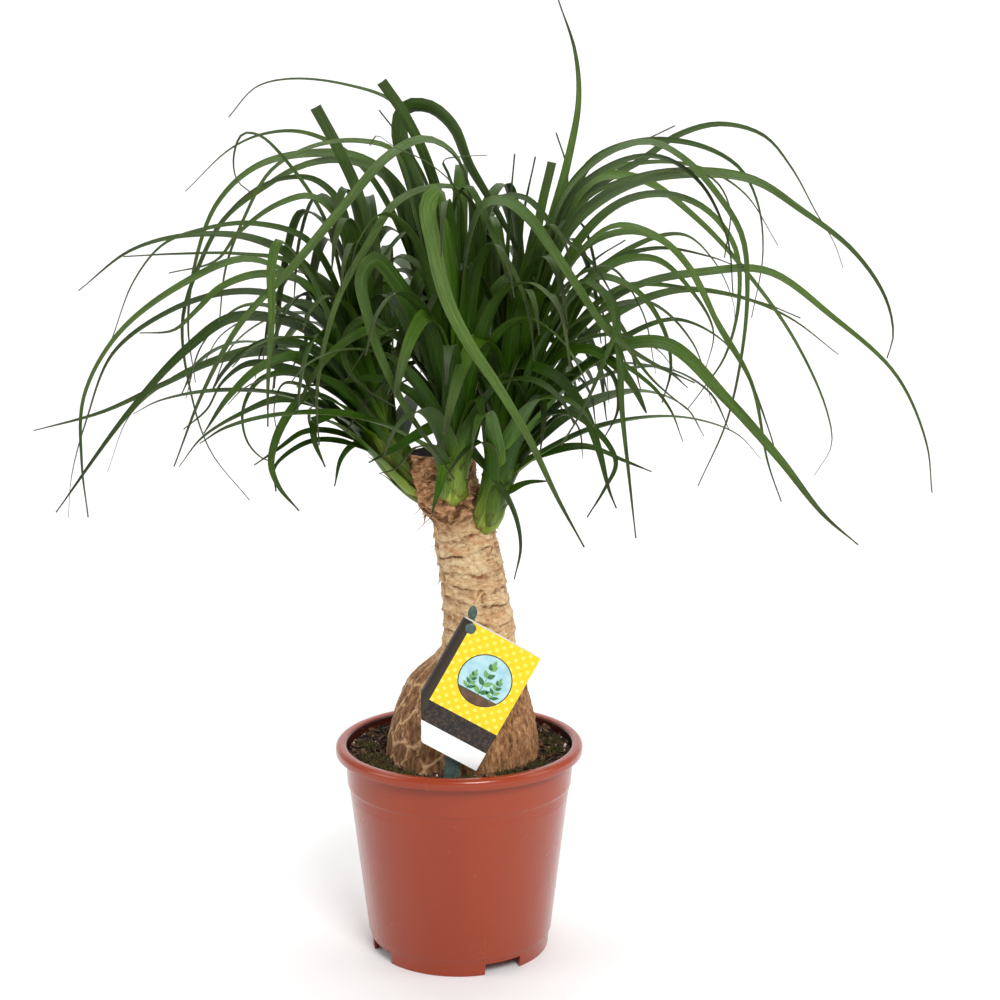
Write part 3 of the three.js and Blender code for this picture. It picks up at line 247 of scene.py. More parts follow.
# Outline leaves of each shoot: blade width, depth of the tip behind the pot's axis, and points as x and z
# on the upright plane through the axis, as the eye projects them there. A cut leaf ends square.
CUT = "cut"
OUTLINE_LEAVES = {
    "shoot_left": [
        (14, 60, (-92, 480, -112, 525, -150, 546, -200, 548, -240, 537, -279, 508)),
        (14, 85, (-95, 440, -130, 461, -175, 457, -220, 438, -265, 418, -317, 404)),
        (16, -60, (-92, 458, -120, 482, -165, 488, -200, 465, -245, 418, -303, 342)),
        (11, 120, (-95, 480, -130, 503, -165, 507, -210, 494, -255, 462, -277, 412, -290, 370, -294, 338)),
        (12, -110, (-95, 485, -120, 517, -155, 531, -200, 514, -250, 477, -278, 430, -282, 380, -279, 338)),
        (12, 30, (-78, 520, -85, 570, -105, 589, -135, 587, -160, 572, -180, 548)),
        (11, -40, (-82, 500, -97, 560, -125, 603, -143, 620, -155, 621, -162, 605, -160, 588, -150, 579)),
        (14, -50, (-80, 500, -85, 555, -105, 576, -130, 571, -160, 550, -177, 530, -212, 521)),
        (8, 40, (-88, 495, -120, 528, -160, 535, -205, 535, -245, 533)),
        (9, 20, (-85, 500, -110, 545, -150, 557, -185, 553, -215, 542, -238, 515, -256, 472)),
        (16, -90, (-90, 480, -112, 513, -145, 520, -175, 510, -192, 494, -210, 479, -235, 477)),
        (19, -70, (-90, 440, -118, 459, -145, 452, -170, 430, -190, 402)),
        (13, 30, (-92, 438, -125, 450, -155, 454, -175, 440, -187, 420, -205, 405)),
        (10, -20, (-92, 432, -125, 447, -147, 442, -160, 420, -158, 397, -148, 384, -138, 380)),
        (13, 60, (-95, 420, -130, 428, -165, 415, -192, 398, -209, 377)),
        (15, -90, (-90, 425, -112, 430, -130, 410, -140, 380, -135, 362, -120, 343)),
        (14, -120, (-88, 470, -112, 525, -130, 544, -136, 528, -137, 490, -141, 440, -142, 407)),
        (10, -40, (-92, 403, -115, 403, -135, 390, -153, 378)),
        (9, -70, (-88, 396, -110, 396, -130, 385, -138, 375, -137, 358)),
        (9, -35, (-76, 394, -87, 384, -93, 362)),
        (11, 130, (-100, 462, -140, 467, -175, 459, -215, 441, -245, 415, -263, 373)),
        (14, -60, (-85, 417, -108, 411), CUT),
        (17, 40, (-66, 500, -70, 570, -85, 608, -102, 640), CUT),
    ],
    "shoot_rear": [
        (16, 90, (-25, 520, -42, 580, -70, 603, -105, 607, -145, 598,
                  -175, 571, -193, 525, -199, 480, -195, 440)),
        (11, 60, (-35, 540, -52, 590, -80, 602, -110, 599, -140, 583, -170, 560,
                  -190, 525, -203, 485, -198, 430, -185, 388, -157, 351)),
        (11, -40, (-30, 560, -45, 608, -70, 616, -105, 612, -135, 595, -155, 562, -170, 525, -176, 485)),
        (9, 130, (-45, 560, -75, 604, -110, 622, -140, 621, -165, 610, -198, 580)),
        (8, 60, (-12, 540, -25, 610, -45, 643, -80, 656, -120, 660, -145, 654, -165, 633)),
        (18, -150, (4, 500, 10, 565, 0, 604, -22, 617, -48, 606,
                    -80, 572, -120, 526, -160, 484, -190, 432, -213, 377)),
        (16, -130, (12, 490, 16, 555, 2, 581, -22, 582, -45, 571,
                    -65, 542, -85, 508, -98, 470, -105, 430, -104, 393)),
        (15, -20, (-5, 500, -10, 560, -22, 602, -38, 635, -54, 658), CUT),
        (24, 20, (-10, 480, -17, 535, -30, 585, -41, 622, -37, 639, -20, 640,
                  -3, 626, 8, 600, 20, 580, 32, 560, 48, 530, 60, 495)),
        (11, -120, (-4, 520, -2, 570, 7, 584, 16, 572, 28, 545, 44, 517, 53, 490, 57, 456)),
        (10, -30, (2, 500, 3, 560, -6, 592, -10, 602, 4, 605, 22, 606)),
        (10, -60, (4, 530, 0, 580, -20, 600, -45, 612, -58, 620, -63, 613)),
        (8, 10, (-10, 520, -22, 585, -40, 617, -56, 638)),
        (13, -90, (15, 520, 30, 574, 50, 575, 75, 549, 100, 527, 118, 498)),
    ],
    "shoot_front": [
        (18, -130, (-18, 460, -40, 508, -60, 531, -70, 518, -66, 490, -55, 455, -38, 420, -18, 390, -3, 367)),
        (18, -170, (2, 480, -6, 545, -13, 581, -21, 572, -17, 540, -9, 505,
                    6, 473, 28, 440, 52, 400, 75, 352, 95, 315)),
        (20, -140, (4, 480, 8, 540, 20, 570, 35, 573, 52, 561,
                    70, 537, 90, 508, 112, 477, 140, 457, 176, 440)),
        (19, -60, (-12, 425, -28, 452, -48, 476, -68, 487, -82, 475, -83, 455, -72, 438, -46, 421)),
        (14, -90, (-10, 408, -28, 402, -48, 390, -67, 380)),
        (13, -75, (-6, 398, -10, 378, -20, 341)),
        (13, -20, (-18, 412, -35, 432, -60, 443, -90, 440, -120, 437)),
    ],
    "shoot_right": [
        (16, -110, (24, 424, 12, 436, 1, 426, 0, 408, 12, 388, 30, 366, 43, 340, 47, 315, 42, 290)),
        (13, 20, (52, 480, 60, 560, 69, 601), CUT),
        (13, 60, (55, 500, 68, 555, 80, 600, 88, 645, 85, 680, 73, 715)),
        (7, -10, (36, 500, 38, 560, 42, 607)),
        (7, 10, (44, 500, 48, 560, 57, 605)),
        (8, 40, (60, 500, 76, 560, 80, 595, 72, 622)),
        (11, 120, (65, 520, 95, 577, 135, 603, 160, 620, 190, 628,
                   222, 620, 243, 597, 262, 565, 276, 543, 283, 525)),
        (11, 60, (60, 510, 85, 580, 100, 603, 135, 616, 175, 613, 205, 597, 219, 572, 224, 535, 217, 488)),
        (15, -80, (58, 510, 80, 578, 110, 607, 140, 615, 165, 603, 190, 577,
                   208, 548, 213, 510, 210, 460, 200, 410, 180, 362)),
        (20, -40, (62, 500, 85, 555, 125, 585, 170, 593, 215, 588,
                   250, 567, 290, 537, 315, 503, 322, 475, 318, 458)),
        (14, 100, (60, 490, 75, 555, 100, 589, 135, 588, 175, 560,
                   215, 518, 250, 470, 275, 418, 279, 392, 267, 370)),
        (14, -10, (65, 490, 90, 545, 120, 572, 150, 578, 180, 568,
                   203, 540, 207, 500, 198, 460, 182, 435, 171, 420)),
        (13, -130, (62, 480, 85, 530, 115, 555, 145, 548, 170, 525, 195, 478, 215, 446, 232, 405, 236, 393)),
        (12, -100, (64, 485, 95, 540, 130, 551, 160, 537, 190, 488, 218, 440, 232, 380, 243, 350)),
        (10, 60, (70, 480, 105, 525, 145, 539, 185, 533, 207, 525)),
        (9, 130, (75, 490, 125, 538, 165, 549, 188, 530, 203, 500, 205, 484)),
        (14, 20, (75, 470, 110, 525, 145, 531, 172, 508, 189, 478, 184, 450)),
        (13, -83, (80, 465, 125, 508, 185, 522, 228, 522, 275, 490, 325, 446, 350, 395, 356, 357)),
        (12, 100, (80, 455, 115, 490, 160, 508, 205, 504, 245, 488, 282, 461)),
        (9, 40, (78, 470, 120, 510, 175, 509, 225, 499, 253, 488)),
        (15, -60, (72, 465, 100, 517, 130, 509, 152, 480, 158, 450, 152, 425)),
        (9, 50, (80, 440, 120, 472, 160, 487, 195, 472, 214, 447)),
        (20, -150, (75, 430, 115, 464, 155, 468, 200, 427, 240, 383, 275, 340, 302, 317)),
        (13, -100, (65, 470, 92, 515, 112, 500, 119, 465, 122, 420, 128, 370, 134, 322)),
        (12, -30, (75, 435, 100, 455, 115, 445, 119, 420, 108, 396)),
        (13, 30, (78, 440, 110, 457, 140, 441, 158, 420, 168, 396)),
        (11, -70, (62, 412, 80, 418, 105, 402, 118, 380, 110, 360, 97, 338)),
        (12, 0, (60, 385, 95, 392, 125, 381, 145, 373)),
        (16, -120, (45, 452, 72, 445, 92, 422, 105, 390, 113, 360, 119, 345)),
        (11, -30, (50, 364, 68, 366)),
        (8, -140, (62, 470, 100, 512, 118, 492, 108, 455, 92, 418, 77, 393)),
        (8, -120, (72, 470, 100, 490, 118, 475, 145, 442, 171, 420)),
        (10, 140, (68, 530, 95, 588, 140, 601, 180, 596, 210, 578, 235, 541)),
        (12, -60, (62, 520, 85, 578, 120, 602, 150, 604, 178, 585, 198, 545, 203, 505)),
        (8, -30, (66, 525, 95, 575, 150, 595, 185, 590, 199, 568, 196, 532)),
        (8, 40, (60, 540, 95, 600, 130, 614, 158, 627)),
        (7, 60, (75, 500, 100, 530, 123, 545)),
    ],
}

# Inner leaves fill each shoot in fans: shoot, count, heading, spread, and shares of the reach and fall.
# Their arch is a share of the reach, of the height and of the fall at each point.
GOLDEN_TURN = 137.508
DRAW_SEED = 4711
INNER_FANS = [
    ("shoot_left", 13, 128, 48, 1, 0.75),
    ("shoot_left", 8, 232, 36, 0.8, 0.3),
    ("shoot_front", 10, 270, 60, 1, 0.3),
    ("shoot_right", 12, 50, 46, 1, 0.75),
    ("shoot_right", 6, 300, 34, 0.8, 0.3),
    ("shoot_rear", 18, 90, 55, 1.1, 0.8),
]
LONGEST_REACH = 230
SHORTEST_REACH = 80
LOWEST_ARCH = 45
HIGHEST_ARCH = 185
INNER_WIDTHS = (16, 21)
INNER_FACINGS = (-20, 20)
INNER_REACHES = (0.8, 1.1)
INNER_FALLS = (0.6, 1.1)
HEIGHT_SPREAD = (-12, 12)
TURN_SPREAD = (-5, 5)
ARCH = [(0.16, 0.5, 0), (0.4, 0.9, 0), (0.68, 1, 0), (0.9, 1, 0.4), (1, 1, 1)]

# Young leaves stand in the middle of each shoot: shares of the reach and height at each point.
YOUNG_ARCH = [(0.08, 0.38), (0.2, 0.72), (0.38, 0.95), (0.56, 1), (0.76, 0.84), (0.9, 0.6), (1, 0.34)]
YOUNG_APEX = 4
YOUNG_TURN = 55
YOUNG_REACH = (125, 60)
YOUNG_LEAN = 0.25
YOUNG_WIDTHS = (15, 20)
YOUNG_FACINGS = (-50, 50)
YOUNG_DROOPS = (0.55, 1.05)
YOUNG_HEIGHTS = (0.85, 1.05)
SPEAR_AGE = 0.72
SPEAR_STOPS = (0, 0.3, 0.6, 0.85, 1)
SPEAR_REACH = (30, 16)
SPEAR_CURL = 1.7

# The oldest leaves hug the stem from their foot: shares of its line above the foot, and of its radius.
# Where they leave it, their arch is shares of their rise and of their lean.
SHEATH_CLIMB = [(0, 0.7), (0.16, 0.9), (0.32, 0.95), (0.5, 1.1)]
SHEATH_ARCH = [(1, 0.7), (0.35, 0.9), (-0.2, 0.9), (-0.5, 0.7)]
SHEATH_TURN = 235
SHEATH_FEET = (0.06, 0.48)
SHEATH_RISES = (30, 58)
SHEATH_LEANS = (13, 27)
SHEATH_WIDTHS = (16, 20)
SHEATH_FACINGS = (-30, 30)
SHEATH_GREEN = 0.1
LEAST_RISE = 34
STUBS = 9
STUB_CLIMB = [(0, 0.7), (0.13, 0.8), (0.26, 0.82), (0.38, 0.95)]
STUB_TURN = 200
STUB_FEET = (0.01, 0.28)
STUB_RISES = (5, 13)
STUB_LEANS = (1, 5)
STUB_WIDTHS = (13, 18)
STUB_GREENS = (0, 0.4)

# Stake and card.
STAKE_Y = -65.2
STAKE_THICKNESS = 1.6
STAKE_FOOT = (-13.4, 92)
STAKE_TOP = (12.4, 286)
STAKE_TIP_HALF_WIDTH = 0.8
STAKE_HALF_WIDTH = 5.7
STAKE_POINT_LENGTH = 16
STAKE_SHOULDER = 108
STAKE_NECK = 122
STAKE_NECK_HALF_WIDTH = 2.4
STAKE_BEVEL = 0.35
KNOB_HALF_WIDTH = 3.2
KNOB_LENGTH = 11
PIN_AT = (10.2, 271)
PIN_RADIUS = 1.5
PIN_START = 0.4
PIN_SECTORS = 32
PIN_HEAD_RADIUS = 4.0
PIN_HEAD_THICKNESS = 1.4
GAP = 0.3
CARD_THICKNESS = 0.8
CARD_WIDTH = 56.4
CARD_HEIGHT = 97.0
CARD_TURN = math.radians(29)
CARD_CORNER = (5.4, 279)
CARD_BACK_SHORTER = 5
CARD_FOLD_RADIUS = 2.6
CARD_FOLD_OUT = 7
CARD_TRIM_X = -26
CARD_EDGE_BEVEL = 0.12
CARD_BACK_Y = STAKE_Y - STAKE_THICKNESS - GAP
CARD_FRONT_Y = CARD_BACK_Y - 2 * CARD_FOLD_RADIUS - CARD_THICKNESS / 2

# Print on the card, across and down from its corner.
CARD_SPINE = 0.6
CARD_BAND_TOP = 66
CARD_BAND_FOOT = 82
DOT_RATE = 0.8
DOT_LEVEL = 0.5
PANEL_AT = (29, 34)
PANEL_RADIUS = 20
PANEL_RIM = 0.8
MOUND_TURNS = (36, 144)
SPRIG_FOOT = 12.5
SPRIGS = [(-9, 15, 6.0), (0.5, 25, 8.6), (10, 17, 6.4)]
SPRIG_PAIRS = 4
SPRIG_STALK = 0.35
LOWEST_PAIR = 2.5
FIRST_LEAN = 58
LEAN_STEP = 8
LENGTH_STEP = 0.12
SLIMNESS = 0.42
TOP_LEAFLET = {"below": 2, "length": 0.8, "width": 0.36}
PRINT_LIFT = 0.05
PRINT_COLOURS = {
    "print_frame": ((28, 24, 20), (38, 32, 26)),
    "print_sky": ((150, 194, 206), (178, 212, 216)),
    "print_earth": ((70, 46, 30), (104, 72, 46)),
    "print_leaf": ((34, 96, 48), (46, 112, 56)),
    "print_pale_leaf": ((96, 150, 78), (120, 168, 92)),
}

# Studio, in metres: the sweep's profile of depth and height, and each light's place, size and power.
SWEEP_HALF_WIDTH = 3.4
SWEEP_FRONT = -2.6
SWEEP_BEND_AT = 1.3
SWEEP_BEND_RADIUS = 0.9
SWEEP_HEIGHT = 3.2
AIR_LIGHT = 0.52
LIGHTS_AIM = (0, 0, 0.35)
SOFTBOXES = {
    "key": ((0.55, -1.6, 1.6), (0.8, 0.8), 33),
    "left": ((-1.7, -0.5, 1.1), (0.9, 1.3), 10),
    "right": ((1.8, -0.3, 1.0), (0.9, 1.3), 8),
    "back": ((0.0, 1.0, 2.4), (2.6, 1.0), 30),
}


def scene_colour(colour):
    """Scene colour of a screen colour, from 0 to 255 a channel, or of a plain grey, where 1 is white."""
    if not isinstance(colour, tuple):
        return (colour, colour, colour, 1.0)
    shares = [value / 255 for value in colour]
    return (*(s / 12.92 if s <= 0.04045 else ((s + 0.055) / 1.055) ** 2.4 for s in shares), 1.0)


def smoothstep(value, low, high):
    share = np.clip((value - low) / (high - low), 0, 1)
    return share * share * (3 - 2 * share)


def bell(value, width):
    """1 where a value is 0, falling off to both sides over a width."""
    return np.exp(-((value / width) ** 2))


def between(ends, share):
    """The value at a share of the way from the first end to the second."""
    return ends[0] + (ends[1] - ends[0]) * share


def unit(vector):
    return vector / np.linalg.norm(vector)


def level_way(degrees):
    """The level direction at a heading."""
    return np.array([math.cos(math.radians(degrees)), math.sin(math.radians(degrees)), 0.0])


def full_turn(count):
    """Evenly spaced angles round a circle, in radians."""
    return np.linspace(0, 2 * math.pi, count, endpoint=False)


class Surface:
    """A procedural material: its nodes, its shader, and short ways to add to them."""

    def __init__(self, name, roughness, **constants):
        self.material = bpy.data.materials.new(name)
        self.material.use_nodes = True
        self.tree = self.material.node_tree
        self.shader = self.tree.nodes["Principled BSDF"]
        self.shader.inputs["Roughness"].default_value = roughness
        for socket, value in constants.items():
            self.shader.inputs[socket.replace("_", " ")].default_value = value

    def feed(self, socket, value):
        if isinstance(value, bpy.types.NodeSocket):
            self.tree.links.new(value, socket)
        else:
            socket.default_value = scene_colour(value) if socket.type == "RGBA" else value

    def node(self, kind, inputs=None, **settings):
        made = self.tree.nodes.new("ShaderNode" + kind)
        for key, value in settings.items():
            setattr(made, key, value)
        for key, value in (inputs or {}).items():
            self.feed(made.inputs[key], value)
        return made

    def place(self, scale=(1, 1, 1)):
        """Place on the object in metres, stretched along its axes."""
        spot = self.node("TexCoord").outputs["Object"]
        return self.node("Mapping", {"Vector": spot, "Scale": scale}).outputs[0]

    def value(self, name):
        return self.node("Attribute", attribute_name=name).outputs["Fac"]

    def noise(self, scale, detail=4, stretch=(1, 1, 1), roughness=0.55, place=None):
        inputs = {"Vector": place or self.place(stretch), "Scale": scale, "Detail": detail}
        return self.node("TexNoise", {**inputs, "Roughness": roughness}).outputs["Fac"]

    def maths(self, operation, *values, clamp=False):
        return self.node("Math", dict(enumerate(values)), operation=operation, use_clamp=clamp).outputs[0]

    def scaled(self, value, factor, offset=0.0, clamp=False):
        """A value times a factor, plus an offset."""
        return self.maths("MULTIPLY_ADD", value, factor, offset, clamp=clamp)

    def past(self, value, start, slope):
        """How far a value has risen past a start, at a slope, from 0 to 1."""
        return self.scaled(value, slope, -start * slope, clamp=True)

    def ramp(self, value, stops):
        """A colour that follows a value through stops of position and colour."""
        made = self.node("ValToRGB", {"Fac": value})
        elements = made.color_ramp.elements
        while len(elements) < len(stops):
            elements.new(0.5)
        for element, (position, colour) in zip(elements, stops.items()):
            element.position = position
            element.color = scene_colour(colour)
        return made.outputs["Color"]

    def mix(self, share, first, second, blend="MIX"):
        inputs = {0: share, 6: first, 7: second}
        return self.node("Mix", inputs, data_type="RGBA", blend_type=blend).outputs[2]

    def shaded(self, share, colour, shade):
        """A colour multiplied by a shade, to a share."""
        return self.mix(share, colour, shade, "MULTIPLY")

    def grey(self, value, low, high):
        """A grey that follows a value from low to high."""
        return self.ramp(value, {0.0: low, 1.0: high})

    def bump(self, height, distance, strength):
        inputs = {"Height": height, "Distance": distance, "Strength": strength}
        last = self.shader.inputs["Normal"]
        if last.links:
            inputs["Normal"] = last.links[0].from_socket
        self.feed(last, self.node("Bump", inputs).outputs[0])

    def done(self, colour, roughness=None):
        self.feed(self.shader.inputs["Base Color"], colour)
        if roughness is not None:
            self.feed(self.shader.inputs["Roughness"], roughness)
        return self.material


class Pile:
    """Grows one mesh out of many parts, with named values at its corners."""

    def __init__(self):
        self.vertices = []
        self.faces = []
        self.slots = []
        self.values = {}
        self.count = 0

    def add(self, vertices, faces, slot=0, **values):
        vertices = np.asarray(vertices, float).reshape(-1, 3)
        for name, value in values.items():
            column = np.broadcast_to(np.asarray(value, float).reshape(-1), (len(vertices),))
            self.values.setdefault(name, []).append(column)
        self.vertices.append(vertices)
        self.faces.extend([[corner + self.count for corner in face] for face in faces])
        self.slots.extend([slot] * len(faces))
        self.count += len(vertices)

    def made(self, name, materials, node=None, slot=None, crease=50):
        mesh = bpy.data.meshes.new(name)
        mesh.from_pydata((np.vstack(self.vertices) * MM).tolist(), [], self.faces)
        for key, columns in self.values.items():
            layer = mesh.attributes.new(key, "FLOAT", "POINT")
            layer.data.foreach_set("value", np.concatenate(columns))
        for material in materials:
            mesh.materials.append(material)
        mesh.polygons.foreach_set("material_index", self.slots)
        mesh.update()
        piece = bpy.data.objects.new(name, mesh)
        bpy.context.scene.collection.objects.link(piece)
        settle(piece, crease)
        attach(piece, "root")
        if node:
            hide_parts(node)
        return piece


def settle(piece, crease):
    """Turns every face outwards, drops empty ones, and smooths all but the sharp edges."""
    work = bmesh.new()
    work.from_mesh(piece.data)
    bmesh.ops.dissolve_degenerate(work, dist=1e-7, edges=work.edges)
    bmesh.ops.recalc_face_normals(work, faces=work.faces)
    work.to_mesh(piece.data)
    work.free()
    piece.data.shade_smooth()
    piece.data.set_sharp_from_angle(angle=math.radians(crease))


def grid_faces(rows, columns, closed=True):
    """Four-sided faces between rows of corners, each row joined to itself where it is closed."""
    across = columns if closed else columns - 1
    row, column = np.meshgrid(np.arange(rows - 1), np.arange(across), indexing="ij")
    beside = (column + 1) % columns
    low, high = row * columns, (row + 1) * columns
    return np.stack([low + column, low + beside, high + beside, high + column], -1).reshape(-1, 4).tolist()


def capped_faces(rows, columns):
    """Faces of a tube of closed rows, with one more over its first row and over its last."""
    last = (rows - 1) * columns
    return grid_faces(rows, columns) + [list(range(columns)), list(range(last, last + columns))]


def rings_of(profile, sectors):
    """A row of corners round the upright axis for each radius and height of a profile."""
    radius, height = np.hsplit(np.asarray(profile, float), 2)
    angle = full_turn(sectors)
    return np.stack([radius * np.cos(angle), radius * np.sin(angle), height + 0 * angle], -1)


def turned(profile, sectors):
    """Corners and faces of a closed profile of radius and height turned about the upright axis."""
    last = (len(profile) - 1) * sectors
    faces = grid_faces(len(profile), sectors)
    faces += [[last + s, last + (s + 1) % sectors, (s + 1) % sectors, s] for s in range(sectors)]
    return rings_of(profile, sectors).reshape(-1, 3), faces


def arc(middle, radius, start, end, steps, stretch=1.0):
    """Points of radius and height on an arc, from one angle to another."""
    angles = np.radians(np.linspace(start, end, steps))
    return [(middle[0] + radius * stretch * math.cos(a), middle[1] + radius * math.sin(a)) for a in angles]


# Curves of the leaves and stems

def curve_at(points, shares):
    """Points on the smooth curve through the given ones, at shares of its run of parameters."""
    points = np.asarray(points, float)
    ends = np.vstack([2 * points[0] - points[1], points, 2 * points[-1] - points[-2]])
    place = np.asarray(shares, float) * (len(points) - 1)
    index = np.minimum(place.astype(int), len(points) - 2)
    t = (place - index)[:, None]
    p0, p1, p2, p3 = (ends[index + k] for k in range(4))
    step = [np.sqrt(np.linalg.norm(b - a, axis=1))[:, None] for a, b in ((p0, p1), (p1, p2), (p2, p3))]
    slope1 = (p1 - p0) / step[0] - (p2 - p0) / (step[0] + step[1]) + (p2 - p1) / step[1]
    slope2 = (p2 - p1) / step[1] - (p3 - p1) / (step[1] + step[2]) + (p3 - p2) / step[2]
    m1, m2 = slope1 * step[1], slope2 * step[1]
    square = (3 * (p2 - p1) - 2 * m1 - m2) * t ** 2
    return p1 + m1 * t + square + (2 * (p1 - p2) + m1 + m2) * t ** 3


def spaced(points, count):
    """Evenly spaced points on the smooth curve through the given ones."""
    shares = np.linspace(0, 1, 201)
    fine = curve_at(points, shares)
    length = np.concatenate([[0], np.cumsum(np.linalg.norm(np.diff(fine, axis=0), axis=1))])
    return curve_at(points, np.interp(np.linspace(0, length[-1], count + 1), length, shares))


def carried(ahead, across):
    """Directions across a line and off it at each of its points, carried along it without a twist."""
    sides, normals = [], []
    for along in ahead:
        along = unit(along)
        across = unit(across - along * across.dot(along))
        sides.append(across)
        normals.append(np.cross(along, across))
    return np.array(sides), np.array(normals)


def midline(points, facing):
    """Middle line of a leaf, with the directions across its blade and off its face."""
    line = spaced(points, STATIONS)
    out = unit((line[-1] - line[0]) * (1, 1, 0))
    ahead = np.vstack([line[1:], line[-1:]]) - np.vstack([line[:1], line[:-1]])
    sides, faces = carried(ahead, np.cross((0, 0, 1), out))
    view = unit(EYE - line[STATIONS // 2])
    ease = smoothstep(np.arange(STATIONS + 1) / STATIONS, 0.05, 0.45)[:, None]

    def turned_by(degrees):
        turn = math.radians(degrees) * ease
        return sides * np.cos(turn) + faces * np.sin(turn), faces * np.cos(turn) - sides * np.sin(turn)

    def hidden(degrees):
        return abs(turned_by(degrees)[0][STATIONS // 2].dot(view))

    usual = -facing if sides[STATIONS // 2].dot(view) > 0 else facing
    other = hidden(usual) > EDGE_ON and hidden(-usual) < hidden(usual)
    return line, *turned_by(-usual if other else usual)


def stem_point(shoot, share):
    return curve_at(SHOOTS[shoot]["line"], [share])[0]


def stem_radius(shoot, shares):
    radii = SHOOTS[shoot]["radii"]
    return np.interp(shares, np.linspace(0, 1, len(radii)), radii)


def root_of(shoot, steepness):
    return stem_point(shoot, ROOT_LOWEST + ROOT_RANGE * min(max(steepness, 0), 1))


def seen(x, z, y):
    """The point at depth y on the sight line through x and z on the upright plane through the axis."""
    return EYE + (np.array([x, 0, z]) - EYE) * (y - EYE[1]) / (0 - EYE[1])


def outline_points(shoot, depth, flat):
    middle = stem_point(shoot, AIMING_SHARE)
    rise = math.atan2(flat[0][1] - middle[2], abs(flat[0][0] - middle[0]))
    root = root_of(shoot, rise / (math.pi / 2))
    stops = np.array([(root[0], root[2])] + list(flat))
    length = np.cumsum(np.linalg.norm(np.diff(stops, axis=0), axis=1))
    depths = root[1] + (depth - root[1]) * length / length[-1]
    return [root] + [seen(x, z, y) for (x, z), y in zip(flat, depths)]


def inner_points(shoot, turn, reach, height, fall):
    root = root_of(shoot, height / (height + reach))
    out = level_way(turn) * reach
    return [root] + [root + out * share + (0, 0, height * up - fall * down) for share, up, down in ARCH]


def drawn_numbers():
    """The run of numbers from 0 to 1 that the frame's inner leaves were drawn with."""
    state = DRAW_SEED
    while True:
        state = state * 16807 % 2147483647
        yield state / 2147483647


def corners_of(node):
    """A search tree over the corners of a node of the frame."""
    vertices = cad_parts[node].data.vertices
    tree = kdtree.KDTree(len(vertices))
    for index, vertex in enumerate(vertices):
        tree.insert(Vector(vertex.co) / MM, index)
    tree.balance()
    return tree


def leaf_rows():
    """Width, whether cut, facing and points of each shoot's leaves in the frame. A leaf was bent clear of
    its neighbours there, so each bend is tried until its tip is a corner of the shoot's solid."""
    trees = {shoot: corners_of(shoot) for shoot in SHOOTS}
    rows = {shoot: [] for shoot in SHOOTS}

    def add_match(shoot, width, cut, facing, bends):
        for points in bends:
            if trees[shoot].find(Vector(points[-1]))[2] < TIP_MATCH:
                rows[shoot].append((width, cut, facing, points))
                return

    for shoot, leaves in OUTLINE_LEAVES.items():
        for width, depth, numbers, *cut in leaves:
            flat = list(zip(numbers[::2], numbers[1::2]))
            bends = (outline_points(shoot, depth + shift, flat) for shift in DEPTH_SHIFTS)
            add_match(shoot, width, bool(cut), FACE_TURN, bends)

    drawn = drawn_numbers()

    def draw(low, high):
        return low + (high - low) * next(drawn)

    for shoot, count, heading, spread, reach_share, fall_share in INNER_FANS:
        for k in range(count):
            age = (k + 0.5) / count
            swing = k * GOLDEN_TURN % 360 / 180 - 1
            height = between((LOWEST_ARCH, HIGHEST_ARCH), age) + draw(*HEIGHT_SPREAD)
            turn = heading + spread * swing + draw(*TURN_SPREAD)
            reach = reach_share * draw(*INNER_REACHES) * between((LONGEST_REACH, SHORTEST_REACH), age)
            fall = fall_share * draw(*INNER_FALLS) * height
            width, facing = draw(*INNER_WIDTHS), draw(*INNER_FACINGS)
            bends = (inner_points(shoot, turn + shift, reach, height, fall) for shift in TURN_SHIFTS)
            add_match(shoot, width, False, facing, bends)
    return rows


# Leaves and shoots

def blade_width(width, share, cut, taper):
    narrowed = ROOT_NARROWING + (1 - ROOT_NARROWING) * np.clip(share / WIDEST_SHARE, 0, 1)
    tapered = np.clip((1 - share) / (1 - WIDEST_SHARE), 0, None) ** taper
    return np.maximum(width * narrowed * np.clip(tapered, CUT_WIDTH_SHARE if cut else 0, 1), LEAST_WIDTH)


def add_blade(pile, width, cut, facing, points, green=1.0, taper=TAPER):
    """A strap leaf: curled round the stem at its root, a shallow channel beyond, thin at its edges."""
    line, side, face = midline(points, facing)
    share = np.linspace(0, 1, STATIONS + 1)
    wide = blade_width(WIDTH_SHARE * width, share, cut, taper)[:, None]
    length = np.linalg.norm(np.diff(line, axis=0), axis=1).sum()
    thick = np.minimum(MIDDLE_THICKNESS, NARROW_THICKNESS + THICKNESS_PER_WIDTH * wide)
    bow = 1 - np.abs(SECTION) ** 1.5
    free = smoothstep(share * length, *LETTING_GO)[:, None]
    radius = HUG_RADIUS + (wide / FREE_BEND - HUG_RADIUS) * free
    bend = SECTION * wide / 2 / radius
    wave = CHANCE.uniform(*RIPPLE_TURNS) * share + CHANCE.uniform(0, 6.28)
    ripple = (RIPPLE * np.sin(wave) * smoothstep(share, 0.1, 0.4))[:, None] * wide
    ripple = ripple * np.sign(SECTION) * SECTION ** 2

    def rows(depth):
        out = (radius + depth) * np.sin(bend)
        up = radius - (radius + depth) * np.cos(bend) + ripple
        return line[:, None] + side[:, None] * out[..., None] + face[:, None] * up[..., None]

    depth = EDGE_THICKNESS + (thick - EDGE_THICKNESS) * bow
    corners = np.concatenate([rows(0 * depth), rows(depth)[:, ::-1]], 1)
    columns = 2 * len(SECTION)
    pile.add(
        corners, capped_faces(STATIONS + 1, columns),
        along=np.repeat(share * length, columns),
        tip=np.repeat(share * (CUT_TIP_SHARE if cut else 1), columns),
        across=np.tile(np.concatenate([SECTION, SECTION[::-1]]), STATIONS + 1),
        tone=CHANCE.uniform(0, 1),
        green=green,
    )


